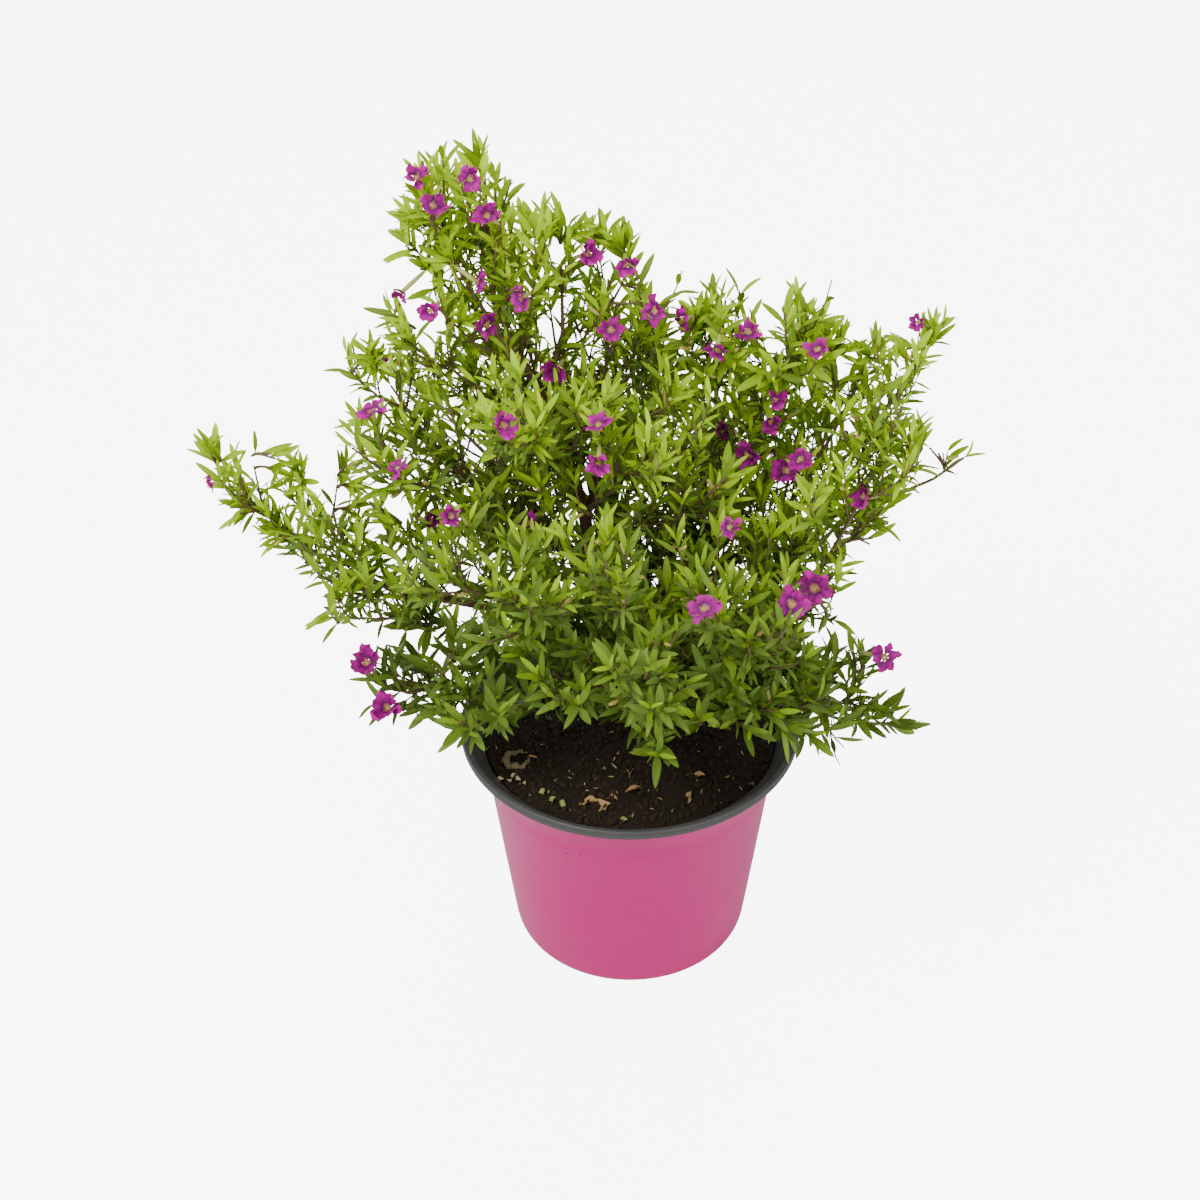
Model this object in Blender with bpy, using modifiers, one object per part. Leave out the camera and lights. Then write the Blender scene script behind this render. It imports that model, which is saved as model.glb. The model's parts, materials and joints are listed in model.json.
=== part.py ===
"""Potted cuphea: a small flowering shrub in a round plastic pot.

Units are metres, +Z is up, and the origin is the middle of the pot's flat
underside.  +X is to the viewer's right and +Y goes back into the crown.
The sizes below are in millimetres and are turned into metres by MM.
"""

import math
import random

import bmesh
import bpy
from mathutils import Matrix, Vector
from mathutils.kdtree import KDTree

MM = 0.001
GAP = 0.3 * MM
UP = Vector((0, 0, 1))

# Pot: a pink tapering wall that flares above its neck, and a dark rim over its top.
POT_HEIGHT = 106.3
POT_WALL_TOP = 102.0
POT_BASE_RADIUS = 51.3
POT_NECK_HEIGHT = 88.0
POT_NECK_RADIUS = 61.9
POT_TOP_RADIUS = 67.4
POT_WALL = 1.8
POT_FLOOR = 2.5
COLLAR_HEIGHT = 20.0
COLLAR_STEP = 0.5
RIM_RADIUS = 71.6
RIM_LIP = 2.2
RIM_THROAT = 6.1
RIM_SKIRT = 18.0
RIM_SKIRT_WALL = 1.3
DRAIN_HOLES = 4
DRAIN_RADIUS = 5.0
DRAIN_CIRCLE = 30.0
ROUND_STEPS = 30

# Soil: one plug with a flat top, a little lower where it meets the rim.
SOIL_TOP = 97.5
SOIL_EDGE_DROP = 1.5
SOIL_FLAT_RADIUS = 50.0

# Trunk: centre line and radius from the soil to the fork under the spire.
TRUNK_FLARE = 6.2
TRUNK_RADIUS = 3.9
TRUNK_TIP_RADIUS = 1.7
TRUNK_LINE = (
    (18, 13, SOIL_TOP + 0.3),
    (18, 13, SOIL_TOP + 3.5),
    (14, 12, 116),
    (4, 9, 142),
    (-12, 8, 174),
    (-21, 6, 218),
    (-32, 4, 256),
    (-44, 3, 280),
)
TRUNK_STEPS = 2
TRUNK_SIDES_RESOLUTION = 2

# Boughs: height on the trunk, tip, pitch where it leaves and where it ends.
BOUGH_RADIUS = 2.3
BOUGH_TIP_RADIUS = 1.9
BOUGH_STEPS = 4
BOUGHS = {
    "bough_left_low": (141, (-89, -2, 171), 12, 8),
    "bough_left": (180, (-51, 4, 208), 20, 40),
    "bough_left_front": (152, (-29, -20, 178), 20, 35),
    "bough_low_left": (119, (-44, -8, 124), 25, 5),
    "bough_centre": (203, (-11, 12, 240), 40, 65),
    "bough_right_top": (161, (25, 18, 206), 30, 55),
    "bough_right": (148, (49, 8, 188), 25, 45),
    "bough_right_mid": (138, (45, -14, 160), 20, 30),
    "bough_right_low": (109, (54, -2, 120), 20, 5),
    "bough_front_right": (124.5, (26, -22, 148), 20, 40),
    "bough_front": (131.5, (2, -26, 154), 30, 45),
    "bough_back": (156, (-7, 42, 188), 30, 45),
    "bough_back_left": (170, (-45, 36, 196), 25, 40),
    "bough_back_right": (143, (37, 42, 172), 25, 40),
}

# Foliage masses: where each is carried (a bough, or a height on the trunk),
# the tip it reaches, its pairs of side shoots, their length, the turn of the
# first pair, its seed, and its blossoms as (shoot, place along it).
MASSES = {
    "foliage_spire_tip": ("trunk", (-52, 2, 358), 3, 24, 35, 11, ((1, 0.88), (6, 0.28))),
    "foliage_spire_left": ("trunk", (-75, -4, 355), 2, 30, 60, 12, ((1, 0.96),)),
    "foliage_spire_right": (262, (-23, 12, 328), 2, 25, 30, 13, ()),
    "foliage_spire_back": (246, (-50, 52, 303), 2, 32, 0, 14, ((2, 0.96), (0, 0.64))),
    "foliage_upper_left": (236, (-86, 8, 295), 2, 34, 50, 15, ((4, 0.92),)),
    "foliage_upper_front": (228, (-39, -54, 288), 2, 36, 20, 16, ((1, 0.72),)),
    "foliage_left_shoulder": ("bough_left", (-102, 12, 283), 2, 34, 40, 17, ((3, 0.48),)),
    "foliage_left_mid": ("bough_left", (-105, -18, 253), 2, 34, 80, 18, ((1, 0.84),)),
    "foliage_left_front": ("bough_left_front", (-77, -66, 235), 2, 36, 30, 19, ((4, 0.96), (2, 0.88))),
    "foliage_front_left": ("bough_left_front", (-37, -88, 230), 2, 36, 70, 20, ()),
    "foliage_left_far": ("bough_left_low", (-167, 0, 242), 2, 26, 75, 21, ((4, 0.96),)),
    "foliage_left_up": ("bough_left_low", (-135, 14, 226), 2, 27, 45, 22, ()),
    "foliage_left_under": ("bough_left_low", (-123, -26, 202), 1, 28, 75, 23, ((1, 0.96),)),
    "foliage_low_left": ("bough_low_left", (-108, -12, 148), 2, 32, 45, 24, ((0, 0.96),)),
    "foliage_rim_left": ("bough_low_left", (-75, -44, 142), 2, 28, 20, 25, ()),
    "foliage_centre_top": ("bough_centre", (-7, 16, 326), 2, 32, 25, 26, ((2, 0.84),)),
    "foliage_centre_right": ("bough_centre", (11, 24, 288), 2, 32, 65, 27, ((2, 0.96), (1, 0.96))),
    "foliage_centre_front": (206, (3, -50, 274), 2, 36, 55, 28, ((2, 0.4),)),
    "foliage_right_peak": ("bough_right_top", (37, 20, 295), 2, 34, 35, 29, ((3, 0.36), (1, 0.36))),
    "foliage_right_high": ("bough_right_top", (73, 20, 288), 2, 30, 75, 30, ((0, 0.88), (1, 0.88))),
    "foliage_right_outer": ("bough_right", (95, 16, 282), 2, 34, 15, 31, ((3, 0.96), (1, 0.44))),
    "foliage_right_far": ("bough_right", (116, 0, 295), 2, 26, 55, 32, ((1, 0.84), (2, 0.96))),
    "foliage_right_twig": ("bough_right", (128, -10, 244), 1, 16, 0, 33, ()),
    "foliage_right_side": ("bough_right_mid", (100, -26, 274), 3, 36, 40, 34, ((4, 0.32),)),
    "foliage_right_low": ("bough_right_low", (103, -20, 150), 1, 20, 10, 35, ((3, 0.96),)),
    "foliage_rim_right": ("bough_right_low", (123, -12, 117), 1, 20, 60, 36, ()),
    "foliage_front_right": ("bough_front_right", (57, -78, 213), 3, 36, 30, 37, ((4, 0.96),)),
    "foliage_front_middle": ("bough_front_right", (29, -80, 236), 2, 32, 15, 51, ((3, 0.4),)),
    "foliage_front_right_low": ("bough_front_right", (63, -62, 162), 2, 30, 70, 38, ()),
    "foliage_front": ("bough_front", (6, -100, 212), 3, 38, 20, 39, ()),
    "foliage_front_high": ("bough_front", (-9, -82, 244), 2, 32, 45, 50, ()),
    "foliage_front_drop": ("bough_front", (-33, -76, 180), 2, 32, 60, 40, ()),
    "foliage_front_low": (112, (3, -60, 150), 2, 26, 35, 41, ()),
    "foliage_back": ("bough_back", (-6, 114, 248), 2, 44, 25, 42, ((2, 0.92), (0, 0.92))),
    "foliage_back_up": ("bough_back", (13, 72, 272), 2, 38, 60, 43, ((3, 0.68),)),
    "foliage_back_left": ("bough_back_left", (-98, 80, 243), 2, 44, 10, 44, ((3, 0.9), (0, 0.8))),
    "foliage_back_left_low": ("bough_back_left", (-74, 98, 185), 2, 36, 50, 45, ((1, 0.85),)),
    "foliage_back_right": ("bough_back_right", (86, 86, 233), 2, 44, 35, 46, ((2, 0.9),)),
    "foliage_back_right_low": ("bough_back_right", (50, 112, 183), 2, 38, 70, 47, ((2, 0.85),)),
    "foliage_back_low": (122, (7, 88, 154), 2, 34, 45, 48, ()),
    "foliage_middle": (190, (37, -34, 249), 2, 34, 20, 49, ()),
}

# Twigs, leaves and blossom.
STEM_RADIUS = 1.05
STEM_TIP_RADIUS = 0.75
SHOOT_ROOT_RADIUS = 0.36
SHOOT_RADIUS = 0.68
SHOOT_TIP_RADIUS = 0.55
STEM_OFFSET = 1.25
STEM_RUN = 3.0
TIP_ALLOWANCE = 20.0
MAIN_STEPS = 3
SIDE_STEPS = 2
SIDE_ANGLE = 42.0
SIDE_LIFT = 0.45
LEAF_LENGTH = 26.0
LEAF_WIDTH = 7.2
LEAF_THICKNESS = 0.9
LEAF_ROOT = 0.3
MAIN_LEAF_STEP = 29.0
SIDE_LEAF_STEP = 29.0
FLOWER_RADIUS = 6.5
FLOWER_LOBES = 6
FLOWER_LENGTH = 9.0
SHOOT_CLEARANCE = 5.0
LEAF_CLEARANCE = 0.5
BLADE_SPACING = 3.6
LIMB_CLEARANCE = 0.8

COLOURS = {
    "pot": (0.50, 0.085, 0.225, 0.38),
    "pot_rim": (0.055, 0.055, 0.052, 0.45),
    "soil": (0.022, 0.015, 0.009, 0.95),
    "bark": (0.12, 0.062, 0.035, 0.8),
    "foliage": (0.16, 0.27, 0.02, 0.5),
}


def clear_scene():
    """Remove everything the new file starts with."""
    for obj in list(bpy.data.objects):
        bpy.data.objects.remove(obj, do_unlink=True)


def make_material(name, kind):
    """A plain Principled material in one of the plant's colours."""
    red, green, blue, roughness = COLOURS[kind]
    material = bpy.data.materials.new(name)
    material.use_nodes = True
    shader = material.node_tree.nodes["Principled BSDF"]
    shader.inputs["Base Color"].default_value = (red, green, blue, 1)
    shader.inputs["Roughness"].default_value = roughness
    shader.inputs["Metallic"].default_value = 0
    return material


def add_object(name, data, collection, kind=None, parent=None):
    """Put a mesh or curve into a collection, with its own material."""
    obj = bpy.data.objects.new(name, data)
    collection.objects.link(obj)
    if kind:
        obj.data.materials.append(make_material(name, kind))
    if parent:
        obj.parent = parent
    return obj


def as_mesh(obj):
    """Replace an object by the mesh that its curve or modifiers make."""
    bpy.context.view_layer.update()
    graph = bpy.context.evaluated_depsgraph_get()
    mesh = bpy.data.meshes.new_from_object(obj.evaluated_get(graph))
    bm = bmesh.new()
    bm.from_mesh(mesh)
    bmesh.ops.remove_doubles(bm, verts=bm.verts, dist=0.001 * MM)
    bmesh.ops.recalc_face_normals(bm, faces=bm.faces)
    bm.to_mesh(mesh)
    bm.free()
    solid = bpy.data.objects.new(obj.name, mesh)
    solid.matrix_world = obj.matrix_world
    for collection in obj.users_collection:
        collection.objects.link(solid)
    name = obj.name
    bpy.data.objects.remove(obj, do_unlink=True)
    solid.name = name
    return solid


# Pot and soil

def wall_radius(height):
    """Outer radius of the pot's wall, in millimetres, at a height."""
    if height < POT_NECK_HEIGHT:
        share = height / POT_NECK_HEIGHT
        return POT_BASE_RADIUS + (POT_NECK_RADIUS - POT_BASE_RADIUS) * share
    share = (height - POT_NECK_HEIGHT) / (POT_WALL_TOP - POT_NECK_HEIGHT)
    return POT_NECK_RADIUS + (POT_TOP_RADIUS - POT_NECK_RADIUS) * share


def turned(name, profile, collection, kind, parent):
    """Turn a profile of (radius, height) pairs about the upright axis."""
    mesh = bpy.data.meshes.new(name)
    bm = bmesh.new()
    points = [bm.verts.new((r * MM, 0, z * MM)) for r, z in profile]
    for first, second in zip(points, points[1:]):
        bm.edges.new((first, second))
    bm.to_mesh(mesh)
    bm.free()
    obj = add_object(name, mesh, collection, None, parent)
    screw = obj.modifiers.new("turn", "SCREW")
    screw.steps = ROUND_STEPS
    screw.render_steps = ROUND_STEPS
    screw.use_merge_vertices = True
    screw.merge_threshold = 0.00001
    solid = as_mesh(obj)
    solid.data.materials.append(make_material(name, kind))
    solid.parent = parent
    solid.data.shade_smooth()
    solid.data.set_sharp_from_angle(angle=math.radians(35))
    return solid


def make_pot(plant, cutters, parent):
    """The pink wall with its collar, foot and drain holes."""
    collar_foot = POT_WALL_TOP - COLLAR_HEIGHT
    inner_top = wall_radius(POT_WALL_TOP) - POT_WALL
    inner_floor = wall_radius(POT_FLOOR) - POT_WALL
    profile = (
        (0, POT_FLOOR),
        (inner_floor, POT_FLOOR),
        (POT_NECK_RADIUS - POT_WALL, POT_NECK_HEIGHT),
        (inner_top, POT_WALL_TOP),
        (POT_TOP_RADIUS, POT_WALL_TOP),
        (POT_NECK_RADIUS, POT_NECK_HEIGHT),
        (wall_radius(collar_foot), collar_foot),
        (wall_radius(collar_foot) - COLLAR_STEP, collar_foot - COLLAR_STEP),
        (wall_radius(4), 4),
        (POT_BASE_RADIUS - 0.4, 1.2),
        (POT_BASE_RADIUS - 1.6, 0),
        (0, 0),
    )
    pot = turned("pot", profile, plant, "pot", parent)
    holes = []
    for index in range(DRAIN_HOLES):
        turn = math.radians(45) + index * math.tau / DRAIN_HOLES
        bpy.ops.mesh.primitive_cylinder_add(
            vertices=16, radius=DRAIN_RADIUS * MM, depth=4 * POT_FLOOR * MM,
            location=(DRAIN_CIRCLE * MM * math.cos(turn), DRAIN_CIRCLE * MM * math.sin(turn), 0))
        hole = bpy.context.object
        for collection in hole.users_collection:
            collection.objects.unlink(hole)
        cutters.objects.link(hole)
        holes.append(hole)
    cut = pot.modifiers.new("drain_holes", "BOOLEAN")
    cut.operation = "DIFFERENCE"
    cut.operand_type = "COLLECTION"
    cut.collection = cutters
    bpy.context.view_layer.update()
    graph = bpy.context.evaluated_depsgraph_get()
    mesh = bpy.data.meshes.new_from_object(pot.evaluated_get(graph))
    pot.modifiers.clear()
    pot.data = mesh
    for hole in holes:
        bpy.data.objects.remove(hole, do_unlink=True)
    return pot


def make_rim(plant, parent):
    """The dark rolled rim, with a skirt inside the wall."""
    skirt_foot = POT_WALL_TOP - RIM_SKIRT
    clear = POT_WALL + 0.3
    seat = POT_WALL_TOP + 0.3
    outer_top = wall_radius(seat) - clear
    outer_neck = POT_NECK_RADIUS - clear
    outer_foot = wall_radius(skirt_foot) - clear
    throat = POT_HEIGHT - RIM_THROAT
    profile = [
        (outer_foot - RIM_SKIRT_WALL, skirt_foot),
        (outer_neck - RIM_SKIRT_WALL, POT_NECK_HEIGHT),
        (wall_radius(throat) - clear - RIM_SKIRT_WALL, throat),
        (RIM_RADIUS - RIM_LIP, POT_HEIGHT),
        (RIM_RADIUS - 0.8, POT_HEIGHT),
        (RIM_RADIUS, POT_HEIGHT - 1.0),
        (RIM_RADIUS, seat),
        (outer_top, seat),
        (outer_neck, POT_NECK_HEIGHT),
        (outer_foot, skirt_foot),
    ]
    profile.append(profile[0])
    return turned("pot_rim", profile, plant, "pot_rim", parent)


def soil_radius(height):
    """Outer radius of the soil plug, just inside the rim's skirt."""
    return wall_radius(height) - POT_WALL - RIM_SKIRT_WALL - 0.6


def make_soil(plant, parent):
    """The soil plug that fills the pot."""
    edge = SOIL_TOP - SOIL_EDGE_DROP
    foot = POT_FLOOR + 0.3
    profile = (
        (0, SOIL_TOP),
        (SOIL_FLAT_RADIUS, SOIL_TOP),
        (soil_radius(edge), edge),
        (soil_radius(POT_NECK_HEIGHT), POT_NECK_HEIGHT),
        (soil_radius(foot), foot),
        (0, foot),
    )
    return turned("soil", profile, plant, "soil", parent)


# Limbs

def smooth_line(points, steps):
    """Points of a Catmull-Rom curve that runs through the given points."""
    points = [Vector(p) for p in points]
    ends = [2 * points[0] - points[1]] + points + [2 * points[-1] - points[-2]]
    line = []
    for index in range(len(points) - 1):
        a, b, c, d = ends[index:index + 4]
        for step in range(steps):
            t = step / steps
            line.append(0.5 * (2 * b + (c - a) * t + (2 * a - 5 * b + 4 * c - d) * t ** 2
                               + (3 * b - a - 3 * c + d) * t ** 3))
    line.append(points[-1])
    return line


def bezier(a, b, c, d, steps):
    """Points of a cubic curve from a to d."""
    line = []
    for step in range(steps + 1):
        t = step / steps
        s = 1 - t
        line.append(a * s ** 3 + 3 * b * s * s * t + 3 * c * s * t * t + d * t ** 3)
    return line


def heading(flat, pitch):
    """Unit vector over the ground direction of flat, raised by pitch degrees."""
    level = Vector((flat.x, flat.y, 0))
    if level.length < 1e-6:
        return UP.copy()
    level.normalize()
    pitch = math.radians(pitch)
    return level * math.cos(pitch) + UP * math.sin(pitch)


def make_tube(name, line, radii, collection, resolution, triangle=None):
    """A tapering tube along a line, closed at both ends, as a mesh."""
    curve = bpy.data.curves.new(name, "CURVE")
    curve.dimensions = "3D"
    curve.use_fill_caps = True
    if triangle:
        curve.bevel_mode = "OBJECT"
        curve.bevel_object = triangle
    else:
        curve.bevel_depth = 1.0
        curve.bevel_resolution = resolution
    spline = curve.splines.new("POLY")
    spline.points.add(len(line) - 1)
    for point, place, radius in zip(spline.points, line, radii):
        point.co = (*place, 1)
        point.radius = radius
    return as_mesh(add_object(name, curve, collection))


def trunk_taper(share):
    """Trunk radius in metres, at a share of its length."""
    flare = (TRUNK_FLARE - TRUNK_RADIUS) * math.exp(-share * 28)
    return (TRUNK_RADIUS + (TRUNK_TIP_RADIUS - TRUNK_RADIUS) * share ** 0.8 + flare) * MM


def trunk_line():
    """The trunk's centre line with its radii, in metres. It leaves the soil upright."""
    line = [Vector(TRUNK_LINE[0])] + smooth_line(TRUNK_LINE[1:], TRUNK_STEPS)
    line = [p * MM for p in line]
    radii = [trunk_taper(i / (len(line) - 1)) for i in range(len(line))]
    return line, radii


def trunk_at(height):
    """Centre and radius of the trunk at a height in millimetres."""
    line, radii = trunk_line()
    height *= MM
    for index in range(len(line) - 1):
        low, high = line[index], line[index + 1]
        if low.z <= height <= high.z:
            share = (height - low.z) / (high.z - low.z)
            radius = radii[index] + (radii[index + 1] - radii[index]) * share
            return low.lerp(high, share), radius
    return line[-1], radii[-1]


def bough_line(name):
    """Centre line and radii of a bough, from the trunk's centre to its tip."""
    height, tip, leave, arrive = BOUGHS[name]
    start, trunk_radius = trunk_at(height)
    tip = Vector(tip) * MM
    reach = (tip - start).length
    out = tip - start
    first = start + heading(out, leave) * reach * 0.35
    second = tip - heading(out, arrive) * reach * 0.33
    line = bezier(start, first, second, tip, BOUGH_STEPS)
    base = min(BOUGH_RADIUS * MM, trunk_radius * 0.8)
    radii = [base + (BOUGH_TIP_RADIUS * MM - base) * i / BOUGH_STEPS
             for i in range(BOUGH_STEPS + 1)]
    return line, radii


def make_trunk(plant, parent):
    """The trunk from its flat foot on the soil to its fork."""
    line, radii = trunk_line()
    trunk = make_tube("trunk", line, radii, plant, TRUNK_SIDES_RESOLUTION)
    trunk.data.materials.append(make_material("trunk", "bark"))
    trunk.parent = parent
    return trunk


def make_boughs(plant, cutters, parent):
    """Every bough, cut back to a seat just clear of the trunk."""
    line, radii = trunk_line()
    seat = make_tube("trunk_seat", line, [r + GAP for r in radii], cutters,
                     TRUNK_SIDES_RESOLUTION)
    seat.hide_render = True
    seat.display_type = "WIRE"
    for name in BOUGHS:
        bough = make_tube(name, *bough_line(name), plant, 1)
        cut = bough.modifiers.new("seat", "BOOLEAN")
        cut.operation = "DIFFERENCE"
        cut.object = seat
        bough = as_mesh(bough)
        bough.data.materials.append(make_material(name, "bark"))
        bough.parent = parent
        bough.name = name


# Twigs

class Shoot:
    """One twig: its mass, its line, and the turn of its first leaf pair."""

    def __init__(self, mass, line, radii, turn, main):
        self.mass = mass
        self.line = line
        self.radii = radii
        self.turn = turn
        self.main = main
        self.length = sum((b - a).length for a, b in zip(line, line[1:]))

    def at(self, share):
        """Place and direction at a share of the twig's length."""
        wanted = share * self.length
        for a, b in zip(self.line, self.line[1:]):
            step = (b - a).length
            if wanted <= step:
                return a.lerp(b, wanted / step), (b - a).normalized()
            wanted -= step
        return self.line[-1].copy(), (self.line[-1] - self.line[-2]).normalized()


def carrier_end(name):
    """Where a mass's stem starts and in which direction it sets off."""
    carrier, tip = MASSES[name][:2]
    goal = Vector(tip) * MM
    if isinstance(carrier, int):
        centre, radius = trunk_at(carrier)
        away = heading(goal - centre, 35)
        run = (radius + STEM_RADIUS * MM) / math.cos(math.radians(35)) * 1.15
        return centre + away * run, away
    line, _ = trunk_line() if carrier == "trunk" else bough_line(carrier)
    along = (line[-1] - line[-2]).normalized()
    side = side_frame(along, stem_turn(name, along))
    return line[-1] + along * GAP + side * STEM_OFFSET * MM, along


def stem_turn(name, along):
    """Turn of a stem about its bough's tip, evenly spaced from its neighbours."""
    group = [n for n in MASSES if MASSES[n][0] == MASSES[name][0]]
    goals = {n: Vector(MASSES[n][1]) for n in group}
    middle = sum(goals.values(), Vector()) / len(group)
    zero = side_frame(along, 0)
    quarter = side_frame(along, 90)
    turns = {n: math.degrees(math.atan2((g - middle).dot(quarter), (g - middle).dot(zero)))
             for n, g in goals.items()}
    order = sorted(group, key=turns.get)
    return turns[order[0]] + 360 * order.index(name) / len(group)


def main_shoot(name):
    """The stem of a mass, from its bough's tip to the mass's tip."""
    goal = Vector(MASSES[name][1]) * MM
    start, away = carrier_end(name)
    out = goal - start
    goal -= (out.normalized() + UP * 0.4).normalized() * TIP_ALLOWANCE * MM
    reach = (goal - start).length
    run = start + away * STEM_RUN * MM
    end_way = (out.normalized() + UP * 0.35).normalized()
    line = bezier(run, run + away * reach * 0.3, goal - end_way * reach * 0.3, goal, MAIN_STEPS)
    line.insert(0, start)
    count = len(line) - 1
    radii = [(STEM_RADIUS + (STEM_TIP_RADIUS - STEM_RADIUS) * i / count) * MM
             for i in range(count + 1)]
    return Shoot(name, line, radii, MASSES[name][4], True)


def side_frame(along, turn):
    """Unit vector square to a twig, turned about it by a number of degrees."""
    flat = along.cross(UP)
    if flat.length < 0.05:
        flat = Vector((1, 0, 0))
    flat.normalize()
    return Matrix.Rotation(math.radians(turn), 3, along) @ flat


def side_shoot(parent, share, turn, length, rng):
    """A side shoot that leaves its stem and turns upwards."""
    base, along = parent.at(share)
    across = side_frame(along, turn)
    angle = math.radians(SIDE_ANGLE + rng.uniform(-6, 6))
    away = along * math.cos(angle) + across * math.sin(angle)
    length *= MM
    mid = base + away * length * 0.5
    tip = base + (away + UP * SIDE_LIFT).normalized() * length
    line = bezier(base, base + away * length * 0.3, mid.lerp(tip, 0.3), tip, SIDE_STEPS)
    radii = [(SHOOT_RADIUS + (SHOOT_TIP_RADIUS - SHOOT_RADIUS) * i / SIDE_STEPS) * MM
             for i in range(SIDE_STEPS + 1)]
    radii[0] = SHOOT_ROOT_RADIUS * MM
    return Shoot(parent.mass, line, radii, turn + 90 * rng.random(), False)


class Space:
    """The room each mass keeps to, and the limbs and pot it keeps off."""

    def __init__(self):
        self.limbs = []
        self.add_limb(*trunk_line())
        for name in BOUGHS:
            self.add_limb(*bough_line(name))
        self.marks = []
        self.tree = None
        self.blades = []

    def add_limb(self, line, radii):
        for (a, b), (r, s) in zip(zip(line, line[1:]), zip(radii, radii[1:])):
            self.limbs.append((a, b, max(r, s)))

    def add_shoot(self, shoot):
        count = max(2, int(shoot.length / (1.5 * MM)))
        for index in range(count + 1):
            self.marks.append((shoot.at(index / count)[0], shoot.mass))
        self.tree = None

    def balance(self):
        self.tree = KDTree(len(self.marks))
        for index, (place, _) in enumerate(self.marks):
            self.tree.insert(place, index)
        self.tree.balance()

    def to_own(self, place, mass):
        return self.tree.find(place, filter=lambda i: self.marks[i][1] == mass)[2]

    def to_others(self, place, mass):
        return self.tree.find(place, filter=lambda i: self.marks[i][1] != mass)[2]

    def off_blades(self, places, node):
        """True where places keep off every blade that grows from another node."""
        spacing = BLADE_SPACING * MM
        return all((place - other).length > spacing
                   for other, owner in self.blades if owner != node for place in places)

    def off_limbs(self, place, clearance):
        for a, b, radius in self.limbs:
            span = b - a
            share = max(0.0, min(1.0, (place - a).dot(span) / span.length_squared))
            if (place - a - span * share).length < radius + clearance:
                return False
        return True

    def off_pot(self, place, clearance):
        flat = math.hypot(place.x, place.y)
        if place.z < SOIL_TOP * MM + clearance and flat < wall_radius(SOIL_TOP) * MM:
            return False
        near_rim = (RIM_RADIUS - 9) * MM < flat < RIM_RADIUS * MM + clearance
        if near_rim and place.z < POT_HEIGHT * MM + clearance:
            return False
        return place.z > SOIL_TOP * MM * 0.6


def grow_shoots(space):
    """Stems of every mass, then their side shoots, pair by pair in turn."""
    shoots = {}
    for name in MASSES:
        stem = main_shoot(name)
        shoots[name] = [stem]
        space.add_shoot(stem)
    draws = {name: random.Random(MASSES[name][5]) for name in MASSES}
    most = max(row[2] for row in MASSES.values())
    for pair in range(most):
        for name, row in MASSES.items():
            pairs, reach, roll = row[2:5]
            if pair >= pairs:
                continue
            share = 0.22 + 0.54 * (pair + 0.5 * (pairs == 1)) / max(1, pairs - 1)
            for side in (0, 180):
                turn = roll + 90 * pair + side + draws[name].uniform(-15, 15)
                size = reach * (1.15 - 0.45 * share) * draws[name].uniform(0.85, 1.1)
                size = min(size, (1 - share) * shoots[name][0].length / MM + 4)
                grow_side(shoots[name], space, share, turn, size, draws[name])
    return shoots


def grow_side(family, space, share, turn, size, rng):
    """Add one side shoot where there is room, shorter if it has to be."""
    space.balance()
    for scale in (1.0, 0.8, 0.62):
        state = rng.getstate()
        shoot = side_shoot(family[0], share, turn, size * scale, rng)
        if shoot_fits(shoot, space):
            family.append(shoot)
            space.add_shoot(shoot)
            return
        rng.setstate(state)
    rng.random()


def shoot_fits(shoot, space):
    """True where a side shoot keeps clear of limbs, pot and other masses."""
    for index in range(2, 9):
        place, _ = shoot.at(index / 8)
        if not space.off_limbs(place, 2.0 * MM):
            return False
        if not space.off_pot(place, 3.0 * MM):
            return False
        if space.to_others(place, shoot.mass) < SHOOT_CLEARANCE * MM:
            return False
    return True


# Leaves and blossom

def leaf_template():
    """A lozenge of eight faces, root at the origin, tip on +Z, blade in XZ."""
    mesh = bpy.data.meshes.new("leaf")
    bm = bmesh.new()
    bmesh.ops.create_uvsphere(bm, u_segments=4, v_segments=2, radius=1)
    for vert in bm.verts:
        if abs(vert.co.z) > 0.5:
            vert.co.z = 0 if vert.co.z < 0 else 1
        else:
            vert.co = (vert.co.x * 0.5, vert.co.y * 0.5, 0.4)
    bm.to_mesh(mesh)
    bm.free()
    return mesh


def flower_template():
    """A six-lobed trumpet: its foot at the origin, its mouth at a height of 1."""
    mesh = bpy.data.meshes.new("flower")
    bm = bmesh.new()
    bmesh.ops.create_uvsphere(bm, u_segments=2 * FLOWER_LOBES, v_segments=2, radius=1)
    for vert in bm.verts:
        if abs(vert.co.z) > 0.5:
            vert.co.z = 0.9 if vert.co.z > 0 else 0
        else:
            turn = math.atan2(vert.co.y, vert.co.x)
            lobe = round(turn / math.pi * FLOWER_LOBES) % 2 == 0
            size = 1.0 if lobe else 0.6
            vert.co = (size * math.cos(turn), size * math.sin(turn), 1.0 if lobe else 0.93)
    bm.to_mesh(mesh)
    bm.free()
    return mesh


def axes_matrix(place, across, normal, along):
    """Matrix that sets X, Y and Z on three given vectors at a place."""
    turn = Matrix((across, normal, along)).transposed().to_4x4()
    return Matrix.Translation(place) @ turn


def leaf_frame(base, along, across, angle, size):
    """Matrix of a leaf that leaves a twig at an angle, rooted inside it."""
    angle = math.radians(angle)
    way = along * math.cos(angle) + across * math.sin(angle)
    width = along.cross(across).normalized()
    normal = way.cross(width).normalized()
    root = base - way * LEAF_ROOT * MM
    scale = Matrix.Diagonal((LEAF_WIDTH * size * MM, LEAF_THICKNESS * MM,
                             LEAF_LENGTH * size * MM, 1))
    return axes_matrix(root, width, normal, way) @ scale


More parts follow.
